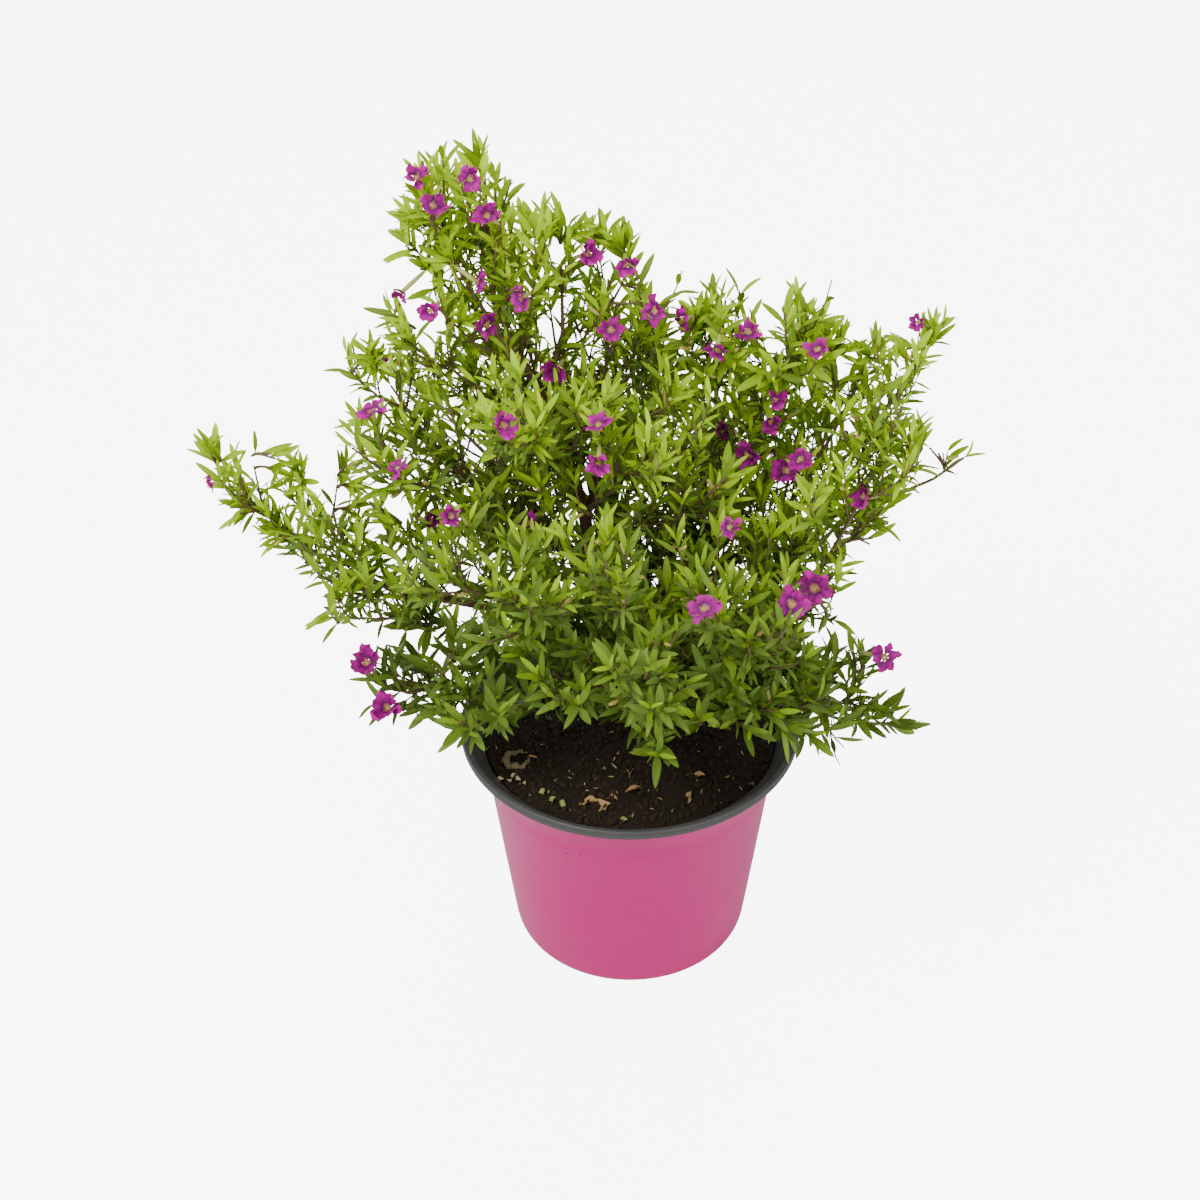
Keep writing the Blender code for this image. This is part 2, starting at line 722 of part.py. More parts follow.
def leaf_fits(matrix, mass, space):
    """True where the whole blade stays in its mass's space."""
    for x, z in ((0, 0.3), (0.36, 0.3), (-0.36, 0.3), (0.5, 0.4), (-0.5, 0.4),
                 (0, 0.6), (0.26, 0.7), (-0.26, 0.7), (0, 0.85), (0, 1.0)):
        place = matrix @ Vector((x, 0, z))
        if not space.off_limbs(place, LIMB_CLEARANCE * MM):
            return False
        if not space.off_pot(place, LEAF_CLEARANCE * 2 * MM):
            return False
        own = space.to_own(place, mass)
        if space.to_others(place, mass) < own + 2 * LEAF_CLEARANCE * MM:
            return False
        if z > 0.55 and own < 1.6 * MM:
            return False
    return True


def leaf_places(shoot, rng):
    """Share, turn, angle and size of each leaf that a twig may bear."""
    step = MAIN_LEAF_STEP if shoot.main else SIDE_LEAF_STEP
    count = int(shoot.length / (step * MM))
    places = []
    for node in range(1, count + 1):
        share = 1 - node * step * MM / shoot.length
        if share < 0.2:
            continue
        turn = shoot.turn + 90 * node
        for side in (0, 180):
            places.append((share, turn + side + rng.uniform(-12, 12),
                           50 + rng.uniform(-6, 8), rng.uniform(0.85, 1.0)))
    tips = 3 if shoot.main else 2
    for index in range(tips):
        turn = shoot.turn + index * 360 / tips + rng.uniform(-15, 15)
        places.append((0.97, turn, 22 + rng.uniform(-4, 6), rng.uniform(0.9, 1.05)))
    return places


def place_leaves(shoot, space, rng):
    """Matrices of the leaves on one twig that keep to its mass's space."""
    found = []
    for share, turn, angle, size in leaf_places(shoot, rng):
        base, along = shoot.at(share)
        across = side_frame(along, turn)
        node = (id(shoot), round(share, 3))
        for scale in (1.0, 0.8):
            matrix = leaf_frame(base, along, across, angle, size * scale)
            blade = [matrix @ Vector((0, 0, z)) for z in (0.35, 0.5, 0.65, 0.8, 0.95)]
            if leaf_fits(matrix, shoot.mass, space) and space.off_blades(blade, node):
                found.append(matrix)
                space.blades.extend((place, node) for place in blade)
                break
    return found


def flower_frame(shoot, share, crown_middle):
    """Base of a calyx on a twig and the way that its flower faces."""
    base, along = shoot.at(share)
    out = base - crown_middle
    way = out.normalized() + UP * 0.35
    way -= along * way.dot(along) * 0.6
    return base, way.normalized()


def flower_fits(foot, way, mass, space):
    """True where a whole flower stays in its mass's space."""
    frame = tilt_to(foot + way * FLOWER_LENGTH * MM, way)
    for index in range(FLOWER_LOBES):
        turn = index * math.tau / FLOWER_LOBES
        for share in (0.5, 1.0):
            size = FLOWER_RADIUS * share * MM
            place = frame @ Vector((size * math.cos(turn), size * math.sin(turn), 0))
            own = space.to_own(place, mass)
            if space.to_others(place, mass) < own + 2 * LEAF_CLEARANCE * MM:
                return False
            if not space.off_limbs(place, LIMB_CLEARANCE * MM):
                return False
            if not space.off_pot(place, LEAF_CLEARANCE * 2 * MM):
                return False
    return True


def tilt_to(place, way):
    """Matrix at a place whose Z axis points along a unit vector."""
    return Matrix.Translation(place) @ way.to_track_quat("Z", "Y").to_matrix().to_4x4()


# Masses

def biggest_body(mesh):
    """Keep the largest closed body: fills hollows and drops loose scrap."""
    bm = bmesh.new()
    bm.from_mesh(mesh)
    left = set(bm.faces)
    bodies = []
    while left:
        queue = [left.pop()]
        body = list(queue)
        while queue:
            face = queue.pop()
            near = {other for edge in face.edges for other in edge.link_faces} & left
            left -= near
            queue.extend(near)
            body.extend(near)
        bodies.append(body)
    bodies.sort(key=len)
    for body in bodies[:-1]:
        bmesh.ops.delete(bm, geom=body, context="FACES")
    bm.to_mesh(mesh)
    bm.free()


def is_closed(mesh):
    """True where every edge of a mesh joins exactly two faces."""
    bm = bmesh.new()
    bm.from_mesh(mesh)
    closed = all(edge.is_manifold for edge in bm.edges)
    bm.free()
    return closed


def fuse(name, base, others):
    """Join shapes to a base by one Boolean union on their collection.

    The exact solver is tried first, and the manifold one where that leaves
    an open edge.
    """
    shapes = bpy.data.collections.new(name + "_shapes")
    bpy.context.scene.collection.children.link(shapes)
    for obj in others:
        shapes.objects.link(obj)
    union = base.modifiers.new("join", "BOOLEAN")
    union.operation = "UNION"
    union.operand_type = "COLLECTION"
    union.collection = shapes
    for solver in ("EXACT", "MANIFOLD"):
        union.solver = solver
        bpy.context.view_layer.update()
        graph = bpy.context.evaluated_depsgraph_get()
        mesh = bpy.data.meshes.new_from_object(base.evaluated_get(graph))
        biggest_body(mesh)
        if is_closed(mesh):
            break
    base.modifiers.clear()
    base.data = mesh
    for obj in others:
        bpy.data.objects.remove(obj, do_unlink=True)
    bpy.data.collections.remove(shapes)


def make_triangle(cutters):
    """The three-sided section that every twig is drawn with."""
    section = bpy.data.curves.new("twig_section", "CURVE")
    section.dimensions = "2D"
    spline = section.splines.new("POLY")
    spline.points.add(2)
    for index, point in enumerate(spline.points):
        turn = index * math.tau / 3
        point.co = (math.cos(turn), math.sin(turn), 0, 1)
    spline.use_cyclic_u = True
    obj = add_object("twig_section", section, cutters)
    obj.hide_render = True
    return obj


def make_mass(name, family, space, parts, plant, parent):
    """One mass: its stem, side shoots, leaves and blossom, fused."""
    triangle, leaf_mesh, flower_mesh, middle, work = parts
    size = Matrix.Diagonal((FLOWER_RADIUS * MM, FLOWER_RADIUS * MM, FLOWER_LENGTH * MM, 1))
    tubes = [make_tube(name + "_twig", s.line, s.radii, work, 0, triangle) for s in family]
    base = tubes[0]
    shapes = tubes[1:]
    for obj in tubes:
        work.objects.unlink(obj)
    for number, share in MASSES[name][6]:
        shoot = family[min(number, len(family) - 1)]
        foot, way = flower_frame(shoot, share, middle)
        if not flower_fits(foot, way, name, space):
            continue
        centre = foot + way * FLOWER_LENGTH * MM
        space.blades.extend((foot.lerp(centre, k / 3), name) for k in (1, 2, 3))
        mesh = flower_mesh.copy()
        mesh.transform(tilt_to(foot, way) @ size)
        shapes.append(bpy.data.objects.new("flower", mesh))
    for index, shoot in enumerate(family):
        rng = random.Random(MASSES[name][5] * 100 + index)
        for matrix in place_leaves(shoot, space, rng):
            mesh = leaf_mesh.copy()
            mesh.transform(matrix)
            shapes.append(bpy.data.objects.new("leaf", mesh))
    base.name = name
    plant.objects.link(base)
    fuse(name, base, shapes)
    base.data.materials.append(make_material(name, "foliage"))
    base.parent = parent
    return base


def main():
    clear_scene()
    scene = bpy.context.scene
    plant = bpy.data.collections.new("potted_cuphea")
    cutters = bpy.data.collections.new("cutters")
    work = bpy.data.collections.new("work")
    for collection in (plant, cutters, work):
        scene.collection.children.link(collection)
    parent = bpy.data.objects.new("plant_origin", None)
    plant.objects.link(parent)

    make_pot(plant, cutters, parent)
    make_rim(plant, parent)
    make_soil(plant, parent)
    make_trunk(plant, parent)
    make_boughs(plant, cutters, parent)

    space = Space()
    shoots = grow_shoots(space)
    space.balance()
    middle = Vector((0, 0, 150)) * MM
    parts = (make_triangle(cutters), leaf_template(), flower_template(), middle, work)
    for name, family in shoots.items():
        make_mass(name, family, space, parts, plant, parent)


main()
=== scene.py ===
"""A young flowering cuphea in a round plastic pot, dressed for its picture.

Sizes are in millimetres and are turned into metres by MM. The trunk, boughs,
stems and side shoots grow by the same named sizes and seeds as the solids.
"""
import json
import math
import random

import bmesh
import bpy
from mathutils import Matrix, Vector, noise
from mathutils.kdtree import KDTree

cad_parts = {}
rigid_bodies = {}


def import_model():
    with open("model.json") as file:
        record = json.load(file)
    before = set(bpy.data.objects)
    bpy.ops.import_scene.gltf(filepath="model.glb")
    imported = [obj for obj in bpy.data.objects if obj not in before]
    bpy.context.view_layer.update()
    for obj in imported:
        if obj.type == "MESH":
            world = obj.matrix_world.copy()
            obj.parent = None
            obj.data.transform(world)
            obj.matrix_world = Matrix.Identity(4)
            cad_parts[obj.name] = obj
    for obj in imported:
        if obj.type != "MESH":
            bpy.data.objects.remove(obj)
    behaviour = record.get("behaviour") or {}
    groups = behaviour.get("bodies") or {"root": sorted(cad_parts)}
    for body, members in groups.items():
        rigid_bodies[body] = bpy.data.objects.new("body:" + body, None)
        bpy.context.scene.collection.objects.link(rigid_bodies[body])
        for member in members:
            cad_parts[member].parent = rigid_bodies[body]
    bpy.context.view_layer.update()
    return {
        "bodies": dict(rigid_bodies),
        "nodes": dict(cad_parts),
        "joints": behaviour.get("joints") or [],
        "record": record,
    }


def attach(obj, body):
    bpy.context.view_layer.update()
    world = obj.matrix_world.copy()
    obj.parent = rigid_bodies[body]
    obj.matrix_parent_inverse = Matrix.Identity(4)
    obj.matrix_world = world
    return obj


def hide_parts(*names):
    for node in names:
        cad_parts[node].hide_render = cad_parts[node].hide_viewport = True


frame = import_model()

MM = 0.001
GAP = 0.3 * MM
UP = Vector((0, 0, 1))
CROWN_MIDDLE = Vector((-15, 5, 205)) * MM
CAMERA_PLACE = Vector((0, -0.5914, 0.5884))

# Pot, rim and soil
POT_HEIGHT = 106.3
POT_WALL_TOP = 102.0
POT_BASE_RADIUS = 51.3
POT_NECK_HEIGHT = 88.0
POT_NECK_RADIUS = 61.9
POT_TOP_RADIUS = 67.4
POT_FLARE_SOFTNESS = 2.0
POT_WALL = 1.8
POT_FLOOR = 2.5
COLLAR_HEIGHT = 20.0
COLLAR_STEP = 0.5
RIM_RADIUS = 71.6
RIM_LIP = 2.2
RIM_SKIRT = 18.0
RIM_SKIRT_WALL = 1.3
DRAIN_HOLES = 4
DRAIN_RADIUS = 5.0
DRAIN_CIRCLE = 30.0
SOIL_TOP = 97.5

# Trunk and boughs
TRUNK_FLARE = 6.2
TRUNK_RADIUS = 3.9
TRUNK_TIP_RADIUS = 1.7
TRUNK_LINE = (
    (18, 13, SOIL_TOP + 0.3),
    (18, 13, SOIL_TOP + 3.5),
    (14, 12, 116),
    (4, 9, 142),
    (-12, 8, 174),
    (-21, 6, 218),
    (-32, 4, 256),
    (-44, 3, 280),
)
BOUGH_RADIUS = 2.3
BOUGH_TIP_RADIUS = 1.9

# Height on the trunk, tip, pitch where a bough leaves and where it ends
BOUGHS = {
    "bough_left_low": (141, (-89, -2, 171), 12, 8),
    "bough_left": (180, (-51, 4, 208), 20, 40),
    "bough_left_front": (152, (-29, -20, 178), 20, 35),
    "bough_low_left": (119, (-44, -8, 124), 25, 5),
    "bough_centre": (203, (-11, 12, 240), 40, 65),
    "bough_right_top": (161, (25, 18, 206), 30, 55),
    "bough_right": (148, (49, 8, 188), 25, 45),
    "bough_right_mid": (138, (45, -14, 160), 20, 30),
    "bough_right_low": (109, (54, -2, 120), 20, 5),
    "bough_front_right": (124.5, (26, -22, 148), 20, 40),
    "bough_front": (131.5, (2, -26, 154), 30, 45),
    "bough_back": (156, (-7, 42, 188), 30, 45),
    "bough_back_left": (170, (-45, 36, 196), 25, 40),
    "bough_back_right": (143, (37, 42, 172), 25, 40),
}

# Carrier, tip, pairs of side shoots, their length, turn, seed, blossom
MASSES = {
    "foliage_spire_tip": ("trunk", (-52, 2, 358), 3, 24, 35, 11, ((1, 0.88), (6, 0.28))),
    "foliage_spire_left": ("trunk", (-75, -4, 355), 2, 30, 60, 12, ((1, 0.96),)),
    "foliage_spire_right": (262, (-23, 12, 328), 2, 25, 30, 13, ()),
    "foliage_spire_back": (246, (-50, 52, 303), 2, 32, 0, 14, ((2, 0.96), (0, 0.64))),
    "foliage_upper_left": (236, (-86, 8, 295), 2, 34, 50, 15, ((4, 0.92),)),
    "foliage_upper_front": (228, (-39, -54, 288), 2, 36, 20, 16, ((1, 0.72),)),
    "foliage_left_shoulder": ("bough_left", (-102, 12, 283), 2, 34, 40, 17, ((3, 0.48),)),
    "foliage_left_mid": ("bough_left", (-105, -18, 253), 2, 34, 80, 18, ((1, 0.84),)),
    "foliage_left_front": ("bough_left_front", (-77, -66, 235), 2, 36, 30, 19, ((4, 0.96), (2, 0.88))),
    "foliage_front_left": ("bough_left_front", (-37, -88, 230), 2, 36, 70, 20, ()),
    "foliage_left_far": ("bough_left_low", (-167, 0, 242), 2, 26, 75, 21, ((4, 0.96),)),
    "foliage_left_up": ("bough_left_low", (-135, 14, 226), 2, 27, 45, 22, ()),
    "foliage_left_under": ("bough_left_low", (-123, -26, 202), 1, 28, 75, 23, ((1, 0.96),)),
    "foliage_low_left": ("bough_low_left", (-108, -12, 148), 2, 32, 45, 24, ((0, 0.96),)),
    "foliage_rim_left": ("bough_low_left", (-75, -44, 142), 2, 28, 20, 25, ()),
    "foliage_centre_top": ("bough_centre", (-7, 16, 326), 2, 32, 25, 26, ((2, 0.84),)),
    "foliage_centre_right": ("bough_centre", (11, 24, 288), 2, 32, 65, 27, ((2, 0.96), (1, 0.96))),
    "foliage_centre_front": (206, (3, -50, 274), 2, 36, 55, 28, ((2, 0.4),)),
    "foliage_right_peak": ("bough_right_top", (37, 20, 295), 2, 34, 35, 29, ((3, 0.36), (1, 0.36))),
    "foliage_right_high": ("bough_right_top", (73, 20, 288), 2, 30, 75, 30, ((0, 0.88), (1, 0.88))),
    "foliage_right_outer": ("bough_right", (95, 16, 282), 2, 34, 15, 31, ((3, 0.96), (1, 0.44))),
    "foliage_right_far": ("bough_right", (116, 0, 295), 2, 26, 55, 32, ((1, 0.84), (2, 0.96))),
    "foliage_right_twig": ("bough_right", (128, -10, 244), 1, 16, 0, 33, ()),
    "foliage_right_side": ("bough_right_mid", (100, -26, 274), 3, 36, 40, 34, ((4, 0.32),)),
    "foliage_right_low": ("bough_right_low", (103, -20, 150), 1, 20, 10, 35, ((3, 0.96),)),
    "foliage_rim_right": ("bough_right_low", (123, -12, 117), 1, 20, 60, 36, ()),
    "foliage_front_right": ("bough_front_right", (57, -78, 213), 3, 36, 30, 37, ((4, 0.96),)),
    "foliage_front_middle": ("bough_front_right", (29, -80, 236), 2, 32, 15, 51, ((3, 0.4),)),
    "foliage_front_right_low": ("bough_front_right", (63, -62, 162), 2, 30, 70, 38, ()),
    "foliage_front": ("bough_front", (6, -100, 212), 3, 38, 20, 39, ()),
    "foliage_front_high": ("bough_front", (-9, -82, 244), 2, 32, 45, 50, ()),
    "foliage_front_drop": ("bough_front", (-33, -76, 180), 2, 32, 60, 40, ()),
    "foliage_front_low": (112, (3, -60, 150), 2, 26, 35, 41, ()),
    "foliage_back": ("bough_back", (-6, 114, 248), 2, 44, 25, 42, ((2, 0.92), (0, 0.92))),
    "foliage_back_up": ("bough_back", (13, 72, 272), 2, 38, 60, 43, ((3, 0.68),)),
    "foliage_back_left": ("bough_back_left", (-98, 80, 243), 2, 44, 10, 44, ((3, 0.9), (0, 0.8))),
    "foliage_back_left_low": ("bough_back_left", (-74, 98, 185), 2, 36, 50, 45, ((1, 0.85),)),
    "foliage_back_right": ("bough_back_right", (86, 86, 233), 2, 44, 35, 46, ((2, 0.9),)),
    "foliage_back_right_low": ("bough_back_right", (50, 112, 183), 2, 38, 70, 47, ((2, 0.85),)),
    "foliage_back_low": (122, (7, 88, 154), 2, 34, 45, 48, ()),
    "foliage_middle": (190, (37, -34, 249), 2, 34, 20, 49, ()),
}

# Twigs
STEM_RADIUS = 1.05
STEM_TIP_RADIUS = 0.6
SHOOT_RADIUS = 0.62
SHOOT_TIP_RADIUS = 0.4
FINE_RADIUS = 0.42
FINE_TIP_RADIUS = 0.26
STEM_OFFSET = 1.25
STEM_RUN = 3.0
TIP_ALLOWANCE = 20.0
SIDE_ANGLE = 42.0
SIDE_LIFT = 0.45
FINE_LIFT = 0.85
SHOOT_CLEARANCE = 5.0

SPARSE_MASSES = ("foliage_right_twig",)

# Light
FLOOR_GLOW = 7.0
WORLD_LIGHT = 0.75

# Leaves and blossom
LEAF_LENGTH = 14.0
LEAF_WIDTH = 3.0
PETAL_LENGTH = 4.8
PETAL_WIDTH = 4.7
CALYX_LENGTH = 7.0
CALYX_RADIUS = 0.9

# Where blossom shows, in millimetres right of and above the middle of the
# upright plane through the pot's axis, as seen by the camera
BLOSSOM = (
    (-74, 346, 1.0), (-69, 336, 1.0), (-50, 332, 1.0), (-55, 346, 1.0), (-82, 303, 0.7),
    (-72, 296, 0.9), (-55, 307, 1.0), (-39, 301, 1.0), (-52, 290, 1.0), (-27, 272, 1.25),
    (-15, 318, 1.1), (-1, 314, 1.0), (-7, 288, 1.0), (9, 296, 1.0), (19, 292, 1.0),
    (32, 280, 1.0), (43, 287, 1.0), (69, 280, 1.0), (-97, 254, 1.35), (-48, 248, 1.2),
    (-89, 229, 0.7), (-78, 205, 0.9), (-70, 207, 0.9), (-40, 204, 1.15), (-12, 232, 1.0),
    (-12, 248, 1.0), (54, 259, 1.0), (53, 250, 1.0), (45, 235, 1.1), (35, 245, 0.8),
    (65, 233, 1.1), (60, 228, 1.2), (91, 216, 1.15), (39, 202, 0.8), (30, 163, 1.2),
    (65, 165, 1.4), (74, 173, 1.45), (-109, 135, 1.45), (-102, 111, 1.8), (105, 138, 1.15),
    (105, 291, 0.75), (-161, 222, 0.7),
)

# Patches that the photograph shows open, as right, up and radius in that plane
SKY_GAPS = (
    (-72, 363, 4), (-78, 310, 5), (-73, 306, 3), (-77, 299, 3), (-69, 291, 3),
    (-74, 281, 3), (-83, 312, 3), (-103, 300, 3), (-109, 280, 4), (-66, 365, 4),
    (-43, 357, 3), (-37, 352, 6), (-21, 335, 3), (-26, 319, 4), (-35, 307, 3),
    (-23, 300, 2), (-25, 293, 3), (-31, 290, 3), (-21, 284, 2), (-8, 312, 2), (-4, 303, 3),
    (4, 316, 3), (11, 304, 4), (24, 319, 5), (40, 311, 4), (-28, 286, 3), (-2, 296, 2),
    (56, 315, 6), (48, 293, 4), (53, 281, 3), (68, 315, 8), (79, 307, 4), (84, 289, 4),
    (79, 272, 3), (66, 262, 2), (95, 290, 3), (103, 290, 3), (98, 274, 3), (110, 269, 3),
    (114, 258, 3), (83, 248, 2), (91, 265, 2), (117, 241, 5), (50, 272, 2), (73, 298, 2),
    (32, 261, 2), (76, 241, 2), (112, 226, 2), (-142, 231, 7), (-154, 239, 3),
    (-166, 217, 5), (-118, 232, 6), (-113, 219, 4), (-90, 265, 3), (-83, 254, 2),
    (-90, 209, 4), (-95, 222, 2), (-97, 201, 2), (-105, 225, 2), (-117, 212, 3),
    (-139, 243, 3), (-137, 217, 2), (-66, 249, 3), (-58, 237, 3), (-67, 284, 2),
    (-17, 274, 2), (-13, 268, 2), (18, 278, 2), (16, 288, 2), (-2, 245, 2), (-37, 212, 2),
    (-56, 228, 2), (-62, 218, 2), (-5, 216, 2), (-15, 196, 2), (-30, 192, 2), (-24, 184, 2),
    (6, 168, 2), (31, 174, 2), (-51, 155, 2), (-9, 265, 2), (-38, 274, 2), (107, 213, 3),
    (96, 194, 5), (88, 194, 4), (86, 165, 5), (102, 164, 5), (79, 198, 2), (80, 148, 2),
    (79, 140, 3), (85, 146, 3), (98, 136, 3), (105, 126, 6), (109, 161, 5), (88, 98, 3),
    (101, 96, 3), (100, 81, 9), (85, 79, 4), (120, 121, 4), (107, 91, 4), (70, 139, 2),
    (-135, 186, 3), (-133, 171, 2), (-116, 146, 8), (-126, 164, 4), (-105, 152, 2),
    (-100, 150, 3), (-99, 173, 2), (-72, 172, 3), (-68, 162, 3), (-91, 189, 2),
    (-100, 132, 2), (-90, 147, 4), (-81, 141, 3), (-91, 126, 2), (-85, 116, 2),
    (-61, 150, 2), (-112, 116, 5), (-85, 143, 3), (-59, 172, 2), (-56, 91, 4),
    (-64, 177, 2), (-41, 96, 9), (-21, 94, 8), (36, 90, 10), (26, 90, 5), (-45, 360, 3),
    (-77, 357, 3), (-85, 323, 4), (-78, 293, 3), (52, 301, 4), (114, 235, 3), (-16, 220, 3),
    (-18, 204, 4), (-16, 212, 2), (43, 180, 3), (38, 191, 2), (33, 181, 2), (89, 132, 2),
    (91, 72, 5), (-160, 210, 4), (108, 206, 3), (23, 311, 3), (127, 255, 5), (121, 254, 3),
    (127, 109, 5), (120, 300, 4), (-86, 100, 5), (90, 129, 2), (86, 118, 3), (89, 139, 2),
    (15, 315, 4), (52, 309, 4), (120, 260, 3), (6, 330, 3), (110, 149, 4), (-78, 139, 3),
    (-124, 265, 5), (-130, 257, 4), (-137, 247, 3), (-122, 273, 4), (95, 154, 4),
    (89, 158, 3), (107, 118, 3), (-14, 340, 3), (3, 333, 3), (21, 316, 4), (-135, 243, 3),
    (-131, 248, 3),
)

# Tips of sprays that close the crown where the photograph shows it dense
EXTRA_SPRAYS = (
    (20, -6, 271), (25, -14, 267), (15, -20, 262), (31, 24, 293), (24, 26, 287),
    (-100, -8, 227), (-97, -16, 225), (-91, -16, 216), (-103, -10, 253), (-100, -12, 249),
    (-93, 0, 279), (-89, 8, 294), (-85, 4, 291), (-80, 2, 337), (-81, 0, 327),
    (-78, -4, 320), (-76, -6, 312), (-11, 14, 329), (-15, 14, 323), (49, 10, 275),
    (73, 10, 283), (79, 14, 286), (112, 2, 297), (100, -14, 261), (105, -14, 263),
    (100, -24, 221), (102, -24, 226), (93, -20, 220), (-146, -6, 216), (-152, -10, 217),
    (-138, -8, 211), (-128, 10, 231), (-159, 0, 242), (-105, -14, 151), (-100, -18, 137),
    (97, -14, 157), (109, -12, 122), (98, -16, 121), (66, -60, 153), (73, -50, 150),
    (-105, 4, 257), (-38, 20, 324), (-32, 20, 327), (64, -30, 207), (-117, -10, 193),
    (-93, -14, 172), (-68, -24, 172), (-71, -6, 245), (-108, -16, 188), (17, 12, 266),
    (22, 2, 275), (27, -8, 276), (22, -2, 264), (42, 8, 276), (47, -2, 283), (52, 6, 273),
    (55, -6, 276), (45, 2, 269), (52, 14, 259), (20, 16, 257), (-105, 4, 226),
    (-102, 8, 214), (-104, 2, 204), (-99, -2, 195), (-108, 8, 234), (-96, 10, 208),
    (-143, 2, 213), (-135, 0, 211), (-151, 2, 216), (-67, 4, 325), (-65, -4, 321),
    (-29, 12, 331), (91, -16, 223), (83, -18, 226), (-1, 10, 328), (-76, -30, 140),
    (-71, -34, 131), (-96, 6, 285), (-91, 4, 291), (66, 6, 299), (59, 10, 295),
    (80, 8, 286), (83, 4, 283), (75, 2, 287), (-25, 10, 331), (-18, 8, 330), (-30, 4, 331),
    (-4, 6, 326), (97, -8, 258), (99, -10, 254), (108, -16, 253), (-131, 4, 234),
    (-135, 2, 228), (-128, 0, 226), (-160, -2, 246), (-154, -4, 244), (-96, 6, 249),
    (-101, 2, 247), (-79, 0, 340), (-82, 4, 330), (-53, 2, 360), (-26, 6, 334),
    (-81, 2, 340), (108, -8, 255), (113, -10, 253), (-20, 14, 295), (-14, 12, 294),
    (-129, -14, 182), (-125, -16, 178), (92, -26, 133), (-103, 14, 223), (-97, -14, 233),
    (-104, 14, 206), (-131, 0, 242), (-128, -4, 241), (-86, 4, 298), (68, -56, 152),
    (-93, -10, 168), (23, 6, 295), (27, 10, 295), (72, -54, 143), (9, 2, 305),
    (29, 12, 292), (35, 12, 294), (31, 2, 296), (63, 14, 296), (-71, 2, 322), (-70, 6, 312),
    (-72, -6, 321), (-74, -14, 233), (-70, -14, 224), (-75, 4, 229), (-70, 6, 218),
    (-102, -16, 183), (-97, -14, 174), (80, -6, 211), (-88, -20, 130), (-93, -18, 135),
    (108, -12, 259), (8, 4, 309), (12, 2, 304), (23, 6, 299), (-9, 10, 329), (-6, 6, 327),
    (-59, 6, 334), (-60, -4, 331), (-63, 0, 325), (46, -6, 278), (44, 6, 267),
    (-101, 4, 184), (-103, -10, 195), (-96, -4, 184), (23, 6, 261), (96, -20, 132),
    (-63, 10, 324), (-66, 10, 295), (-59, 6, 283), (-61, 0, 294), (-99, 4, 283),
    (-96, 8, 277), (-71, 0, 265), (-67, 4, 260), (-74, -4, 264), (-143, -4, 208),
    (-138, 0, 209), (1, 8, 323), (-79, -10, 174), (-86, -14, 179), (80, 8, 287),
    (94, 6, 285), (99, -16, 210), (102, -18, 208), (98, -14, 157), (117, -12, 113),
    (19, 8, 278), (31, 4, 269), (-22, 8, 326), (45, 20, 266), (40, -12, 286),
    (44, -16, 282), (112, 0, 294), (49, 14, 270), (39, 10, 279), (-25, 14, 330),
    (-20, 10, 330), (98, 8, 284), (101, 4, 280), (89, 6, 281), (-149, -4, 213),
    (-153, 0, 216), (-159, 0, 232), (43, -10, 212), (40, -20, 212), (46, -16, 204),
    (38, 0, 210), (-58, -20, 198), (-53, -24, 205), (-62, -16, 199), (-26, 10, 277),
    (-58, 12, 318),
)

# Litter on the soil: right, back, length, width and turn, and the curled
# leaf's middle and radius
TAN_LITTER = (
    (-13, -45, 9, 5, 80), (-8, -46, 12, 6, 100), (-5, -44, 9, 4, 60), (-2, -39, 11, 2.5, -60),
    (-10, -50, 7, 4, 20), (31, -28, 7, 2.5, 95), (26, -28, 5, 2, 70), (25, -39, 5, 2.5, 150),
    (51, -34, 6, 2.5, 40), (0, -28, 5, 2.5, 10), (-10, -25, 4, 2, 50), (11, -38, 4, 2, 0),
)
GREEN_LITTER = (
    (-33, -40, 6, 4, 30), (-30, -43, 5, 4, 120), (-26, -47, 6, 4, 75), (-28, -44, 4, 3, 200),
    (-1, -55, 5, 4, 90), (1, -54, 4, 3, 20), (17, -51, 6, 4, 10), (-35, -37, 4, 3, 150),
)
PALE_LITTER = (
    (-56, -33, 4, 2.5, 40), (-52, -30, 5, 2.5, 100), (-49, -32, 4, 3, 10), (-45, -31, 5, 3, 70),
    (-47, -27, 4, 2, 130), (-60, -11, 3, 2, 0), (-43, -34, 4, 3, 45), (-53, -35, 4, 2, 160),
)
CURLED_LEAF = (-47.0, -18.5, 4.8)

LIGHT_SIDE = Vector((0, -0.75, 0.65))
# Leaf greens from lit to shaded: lit and shaded copies of one green, dealt out as painted light and painted
# shade by place in the crown; the lightest also stands for the real yellow-green of young growth
LEAF_COLOURS = {"tip": (0.43, 0.64, 0.012), "light": (0.34, 0.54, 0.012), "mid": (0.25, 0.41, 0.016),
                "olive": (0.185, 0.3, 0.024), "shade": (0.14, 0.23, 0.03)}
LEAF_KINDS = list(LEAF_COLOURS)


# Nodes

def node(tree, kind, inputs=None, **settings):
    """Add a node, with its settings and with values or links for its inputs."""
    made = tree.nodes.new(kind)
    for key, value in settings.items():
        setattr(made, key, value)
    for key, value in (inputs or {}).items():
        if isinstance(value, bpy.types.NodeSocket):
            tree.links.new(value, made.inputs[key])
        else:
            made.inputs[key].default_value = value
    return made


def maths(tree, operation, first, second=0.0, kind="ShaderNodeMath"):
    """One step of arithmetic between two values or sockets."""
    return node(tree, kind, {0: first, 1: second}, operation=operation).outputs[0]


def sockets(group, direction, rows):
    """Add named number inputs or outputs to a node group."""
    for name, value in rows:
        kind = "NodeSocketColor" if isinstance(value, tuple) else "NodeSocketFloat"
        socket = group.interface.new_socket(name, in_out=direction, socket_type=kind)
        if direction == "INPUT":
            socket.default_value = value


